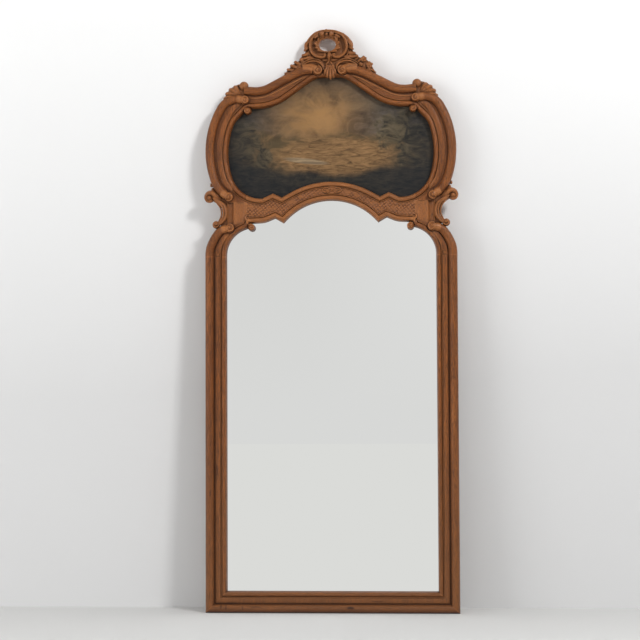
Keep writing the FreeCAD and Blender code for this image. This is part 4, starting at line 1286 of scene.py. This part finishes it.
class FrameDress:
    """Mouldings and carvings laid over the oak frame."""

    mirror_line: tuple[Corner, ...] = (
        (0, 1751, 252), (190, 1551), (221, 1569), (265, 1551, 80), (330, 1548), (337, 1527),
        (426, 1499, 118), (426, 74))
    picture_line: tuple[Corner, ...] = (
        (0, 2130), (60, 2130, 90), (230, 2009, 205), (334, 2009, 12), (393, 1950, 100), (437, 1829, 326),
        (375.5, 1627, 134), (271, 1628), (231, 1647), (195, 1630), (0, 1738, 321))

    def __init__(self, upright: bpy.types.Material, across: bpy.types.Material,
                 carved: bpy.types.Material, marked: bpy.types.Material) -> None:
        """Keep the four oak finishes."""
        self.upright, self.across, self.carved, self.marked = upright, across, carved, marked

    @staticmethod
    def _whole(line: Sequence[Corner]) -> Route:
        """Closed symmetric route from its right half."""
        left = [(-c[0],) + tuple(c[1:]) for c in reversed(line) if c[0] > 0]
        return Route(list(line) + left, True)

    def build(self) -> None:
        """Lay every moulding and carve every coil."""
        band = half_round(22.0, 38.0, 43.0, 12, 0.45)
        lower_band = half_round(20.0, 38.0, 43.0, 12, 0.45)
        fillet = half_round(4.5, 37.5, 41.5, 6)
        top_fillet = half_round(7.0, 38.0, 40.5, 6)
        Moulding("mirror_quirk_bead", self._whole(self.mirror_line), fillet, 12.5).build(self.upright)
        Moulding("picture_quirk_bead", self._whole(self.picture_line), fillet, 12.5).build(self.across)
        base = Route([(-451, 1405), (-451, 49), (451, 49), (451, 1405)])
        Moulding("lower_band", base, lower_band).build(self.marked)
        shoulder = Route([(451, 1405), (451, 1432, 78), (437, 1464, 90), (416, 1496, 60), (392, 1502)])
        side = Route([(382, 1668), (416, 1690, 90), (476, 1859, 322), (380, 2014, 60), (356, 2018)])
        top = Route([(328, 2042), (272, 2035, 150), (104, 2122, 150), (66, 2124)])
        for hand in Hand:
            tag = hand.name.lower()
            for name, route, section in (("shoulder_band", shoulder, band), ("cartouche_band", side, band),
                                         ("top_band", top, top_fillet)):
                line = route if hand is Hand.RIGHT else route.mirrored()
                Moulding(f"{tag}_{name}", line, section, 0.0, 26.0).build(self.upright)
            self._coils(hand, tag)
            self._hook(hand, tag)

    def _hook(self, hand: Hand, tag: str) -> None:
        """Leaf that curls up from the lower end of the frieze's bead."""
        c = Carver(f"{tag}_bead_leaf", hand is Hand.LEFT)
        c.stroke([(318, 1546, 40), (330, 1548, 43), (340, 1556, 43), (338, 1568, 41), (331, 1569, 41)],
                 [3.5, 5.0, 5.0, 3.6, 2.0])
        c.stroke([(322, 1553, 38), (330, 1556, 41), (333, 1563, 40)], [2.0, 3.2, 1.8])
        seat(c.finish(0.8, 2), self.carved)

    def _coils(self, hand: Hand, tag: str) -> None:
        """Coils over the knobs of one half."""
        for name, x, z, radius, crown, start, turns, lead in (
                ("shoulder", 401, 1518, 18, 62, 60, 1.2, -6),
                ("cartouche_foot", 405, 1645, 18, 62, -60, -1.2, 27),
                ("cartouche_corner", 340, 2030, 17, 62, 60, 1.2, 14),
                ("crest_foot", 50, 2145, 20, 62, 100, 1.2, 8),
                ("arch_curl", 316, 1522, 14, 55, 40, 1.1, None),
                ("picture_curl", 329, 1989, 14, 55, 60, -1.1, None)):
            side = hand.value
            angle = start if side > 0 else 180 - start
            if lead is not None and side < 0:
                lead = 180 - lead
            VoluteCoil(f"{tag}_{name}_coil", x * side, z, radius, crown, angle, turns * side, lead,
                       10.0 if name == "crest_foot" else 0.0).build(self.carved)


# --- The studio ----------------------------------------------------------------------


@dataclass(frozen=True)
class Viewpoint:
    """Where the photograph was taken from."""

    place: Mark = (0.443, -6.976, 0.792)
    yaw: float = 0.0698
    pitch: float = 0.0514
    roll: float = -0.0042
    reach: float = 1768.0          # focal length, in pixels of the photograph
    photo_width: float = 640.0     # pixels
    sensor: float = 36.0           # millimetres

    def build(self) -> None:
        """Add the camera."""
        bpy.ops.object.camera_add(location=self.place)
        camera = bpy.context.object
        turn = Matrix.Rotation(self.yaw, 4, "Z") @ Matrix.Rotation(math.pi / 2 + self.pitch, 4, "X")
        turn = turn @ Matrix.Rotation(self.roll, 4, "Z")
        camera.matrix_world = Matrix.Translation(self.place) @ turn
        camera.data.sensor_width = self.sensor
        camera.data.lens = self.reach * self.sensor / self.photo_width
        bpy.context.scene.camera = camera


@dataclass(frozen=True)
class Lamp:
    """A soft square lamp and the point it faces."""

    name: str
    place: Mark
    aim: Mark
    size: float
    watts: float

    def build(self) -> None:
        """Hang the lamp."""
        bpy.ops.object.light_add(type="AREA", location=self.place)
        lamp = bpy.context.object
        lamp.name = self.name
        lamp.data.size = self.size
        lamp.data.energy = self.watts
        way = Vector(self.aim) - Vector(self.place)
        lamp.rotation_euler = way.to_track_quat("-Z", "Y").to_euler()


class Studio:
    """Pale floor, leaning pale wall with painted light, soft lamps, and a world that lights evenly and shows
    painted reflection tones.
    """

    lamps = (Lamp("key", (3.4, -4.4, 4.6), (0, 0, 1.5), 1.0, 205.0),
             Lamp("fill", (-4.5, -3.6, 1.6), (-0.4, 0, 0.9), 3.0, 96.0))
    floor_size = (60, 36)
    floor_middle = -17.5
    wall_size = (40, 10)
    wall_foot = 0.19                        # how far behind the origin the wall meets the floor
    wall_lean = math.atan2(0.15, 2.2)       # radians towards the mirror's crest
    floor_tone = Tone(0.70, 0.70, 0.69)
    # Painted light on the wall: darker low down, lighter high up.
    wall_low, wall_high = Tone(0.73, 0.73, 0.73), Tone(0.98, 0.98, 0.98)
    reflected = Tone(0.775, 0.775, 0.758)   # painted reflection: flat glowing tone of floor and wall, as the mirror shows them
    world_light = 0.42
    # Painted reflection: tones that the camera and reflections see, lighter to the right.
    world_left, world_right = Tone(0.73, 0.73, 0.72), Tone(0.90, 0.90, 0.90)
    world_near = Tone(0.752, 0.752, 0.745)  # painted reflection at the horizon

    def __init__(self, effects: SharedEffects) -> None:
        """Keep the shared groups."""
        self.effects = effects

    def _paint(self, name: str, low: Tone, high: Tone) -> bpy.types.Material:
        """Matt paint with painted light that rises with height and darkens a little to the right, a flat
        glowing tone in reflections (painted reflection), and clear from behind.
        """
        finish = Finish(name, self.effects)
        w = finish.w
        x, _, z = w.split(finish.place)
        # Painted light: the colour lightens with height and darkens a little to the right.
        rise = w.span(w.math("ADD", z, w.math("MULTIPLY", x, -0.05)), 0.9, 2.5)
        w.put(finish.surface.inputs["Base Color"], w.mix(rise, low.rgba, high.rgba))
        finish.surface.inputs["Roughness"].default_value = 0.9
        finish.surface.inputs["Specular IOR Level"].default_value = 0.15
        # Painted reflection: glossy and transmission rays see a flat glowing tone instead of the lit paint.
        path = w.node("LightPath")
        mirrored = w.math("MAXIMUM", path.outputs["Is Glossy Ray"], path.outputs["Is Transmission Ray"])
        plain = w.node("Emission", in_Color=self.reflected.rgba, in_Strength=1.0)
        front = self._choose(w, mirrored, finish.surface, plain)
        behind = w.node("NewGeometry").outputs["Backfacing"]
        sided = self._choose(w, behind, front, w.node("BsdfTransparent"))
        nodes = finish.material.node_tree.nodes
        output = next(node for node in nodes if node.type == "OUTPUT_MATERIAL")
        w.put(output.inputs[0], sided.outputs[0])
        return finish.material

    @staticmethod
    def _choose(w: Weaver, share: bpy.types.NodeSocket, first: bpy.types.Node,
                second: bpy.types.Node) -> bpy.types.Node:
        """Shader that is the first where share is 0 and the second where it is 1."""
        made = w.node("MixShader")
        w.put(made.inputs[0], share)
        w.put(made.inputs[1], first.outputs[0])
        w.put(made.inputs[2], second.outputs[0])
        return made

    @staticmethod
    def _sheet(name: str, place: Matrix, paint: bpy.types.Material) -> bpy.types.Object:
        """Flat painted sheet, its place in its mesh."""
        bpy.ops.mesh.primitive_plane_add(size=1.0)
        sheet = bpy.context.object
        sheet.name = name
        sheet.data.transform(place)
        sheet.data.materials.append(paint)
        return sheet

    def build(self) -> None:
        """Add floor, wall, lamps and world."""
        flat = Matrix.Translation((0, self.floor_middle, 0)) @ Matrix.Diagonal((*self.floor_size, 1, 1))
        floor = self._sheet("floor", flat, self._paint("floor_paint", self.floor_tone, self.floor_tone))
        wide, tall = self.wall_size
        raised = Matrix.Rotation(math.pi / 2 + self.wall_lean, 4, "X") @ Matrix.Translation((0, tall / 2, 0))
        raised = Matrix.Translation((0, self.wall_foot, 0)) @ raised @ Matrix.Diagonal((wide, tall, 1, 1))
        wall = self._sheet("wall", raised, self._paint("wall_paint", self.wall_low, self.wall_high))
        wall.visible_shadow = False
        for lamp in self.lamps:
            lamp.build()
        self._world()

    def _world(self) -> None:
        """Even light, and pale tones for the camera and for reflections, lighter to the right and flat at the
        horizon: a painted reflection.
        """
        world = bpy.data.worlds.new("studio")
        bpy.context.scene.world = world
        world.use_nodes = True
        world.node_tree.nodes.clear()
        w = Weaver(world.node_tree)
        path = w.node("LightPath")
        seen = w.math("MAXIMUM", path.outputs["Is Camera Ray"], path.outputs["Is Glossy Ray"])
        seen = w.math("MAXIMUM", seen, path.outputs["Is Transmission Ray"])
        light = w.node("Background", in_Color=(1, 1, 1, 1), in_Strength=self.world_light)
        across, _, height = w.split(w.node("TexCoord").outputs["Generated"])
        # Painted reflection: lighter to the right, flat near the horizon.
        tint = w.mix(w.span(across, -0.08, 0.10), self.world_left.rgba, self.world_right.rgba)
        tint = w.mix(w.span(height, 0.0, 0.10), self.world_near.rgba, tint)
        shown = w.node("Background", in_Color=tint, in_Strength=1.0)
        choice = self._choose(w, seen, light, shown)
        w.put(w.node("OutputWorld").inputs[0], choice.outputs[0])


FINISH_OF = (
    ("bottom_rail", "across_marked"), ("frieze_rail", "tooled"), ("top_moulding", "across"),
    # The neck blocks take the lighter carved oak, which stands for the light that falls on them: painted
    # light.
    ("neck_block", "carved"), ("stile", "upright_marked"), ("mirror_board", "boards_upright"),
    ("picture_board", "boards_across"), ("mirror_glass", "mirror"), ("picture_canvas", "picture"),
    ("hanger_strap", "brass"), ("hanging_ring", "brass"), ("backing_brads", "steel"),
    ("hanger_screws", "steel"))


def dress_nodes(finishes: dict[str, bpy.types.Material]) -> None:
    """Give every solid of the frame its finish, plain upright oak where none is named for it."""
    for name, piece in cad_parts.items():
        chosen = next((finish for word, finish in FINISH_OF if word in name), "upright")
        piece.data.materials.clear()
        piece.data.materials.append(finishes[chosen])


def main() -> None:
    """Dress the mirror and set it in the studio."""
    logging.basicConfig(level=logging.INFO, format="%(message)s")
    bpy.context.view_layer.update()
    Viewpoint().build()
    effects = SharedEffects()
    oak = {
        "upright": OakFinish("oak_upright", effects, Grain.UPRIGHT).material,
        "across": OakFinish("oak_across", effects, Grain.ACROSS).material,
        # Carved oak: lightened all over and with less painted shade, partly painted light.
        "carved": OakFinish("oak_carved", effects, Grain.CARVED, wear=OakWear(0.22, shade=0.48)).material,
        "upright_marked": OakFinish("oak_upright_marked", effects, Grain.UPRIGHT, marked=True).material,
        "across_marked": OakFinish("oak_across_marked", effects, Grain.ACROSS, marked=True).material,
        "tooled": OakFinish("oak_tooled", effects, Grain.ACROSS,
                            wear=OakWear(0.26, punched=0.85)).material,
    }
    dress_nodes(oak | {
        "boards_upright": BoardFinish("boards_upright", effects, Grain.UPRIGHT).material,
        "boards_across": BoardFinish("boards_across", effects, Grain.ACROSS).material,
        "mirror": MirrorFinish("silvered_plate", effects).material,
        "picture": PictureFinish("evening_landscape", effects).material,
        "brass": MetalFinish("dull_brass", Tone(0.55, 0.37, 0.16), Tone(0.26, 0.17, 0.08),
                             0.3).build(effects),
        "steel": MetalFinish("dull_steel", Tone(0.42, 0.41, 0.39), Tone(0.2, 0.17, 0.15),
                             0.35).build(effects),
    })
    FrameDress(oak["upright"], oak["across"], oak["carved"], oak["upright_marked"]).build()
    for hand in Hand:
        EarScroll(hand).build(oak["carved"])
        CornerShell(hand).build(oak["carved"])
    for carving in (Crest(), DropShell(), LeafSpray(), FlowerSpray(), FriezeCartouche()):
        carving.build(oak["carved"])
    Studio(effects).build()
    bpy.context.scene.view_settings.view_transform = "Standard"


if __name__ == "__main__":
    main()
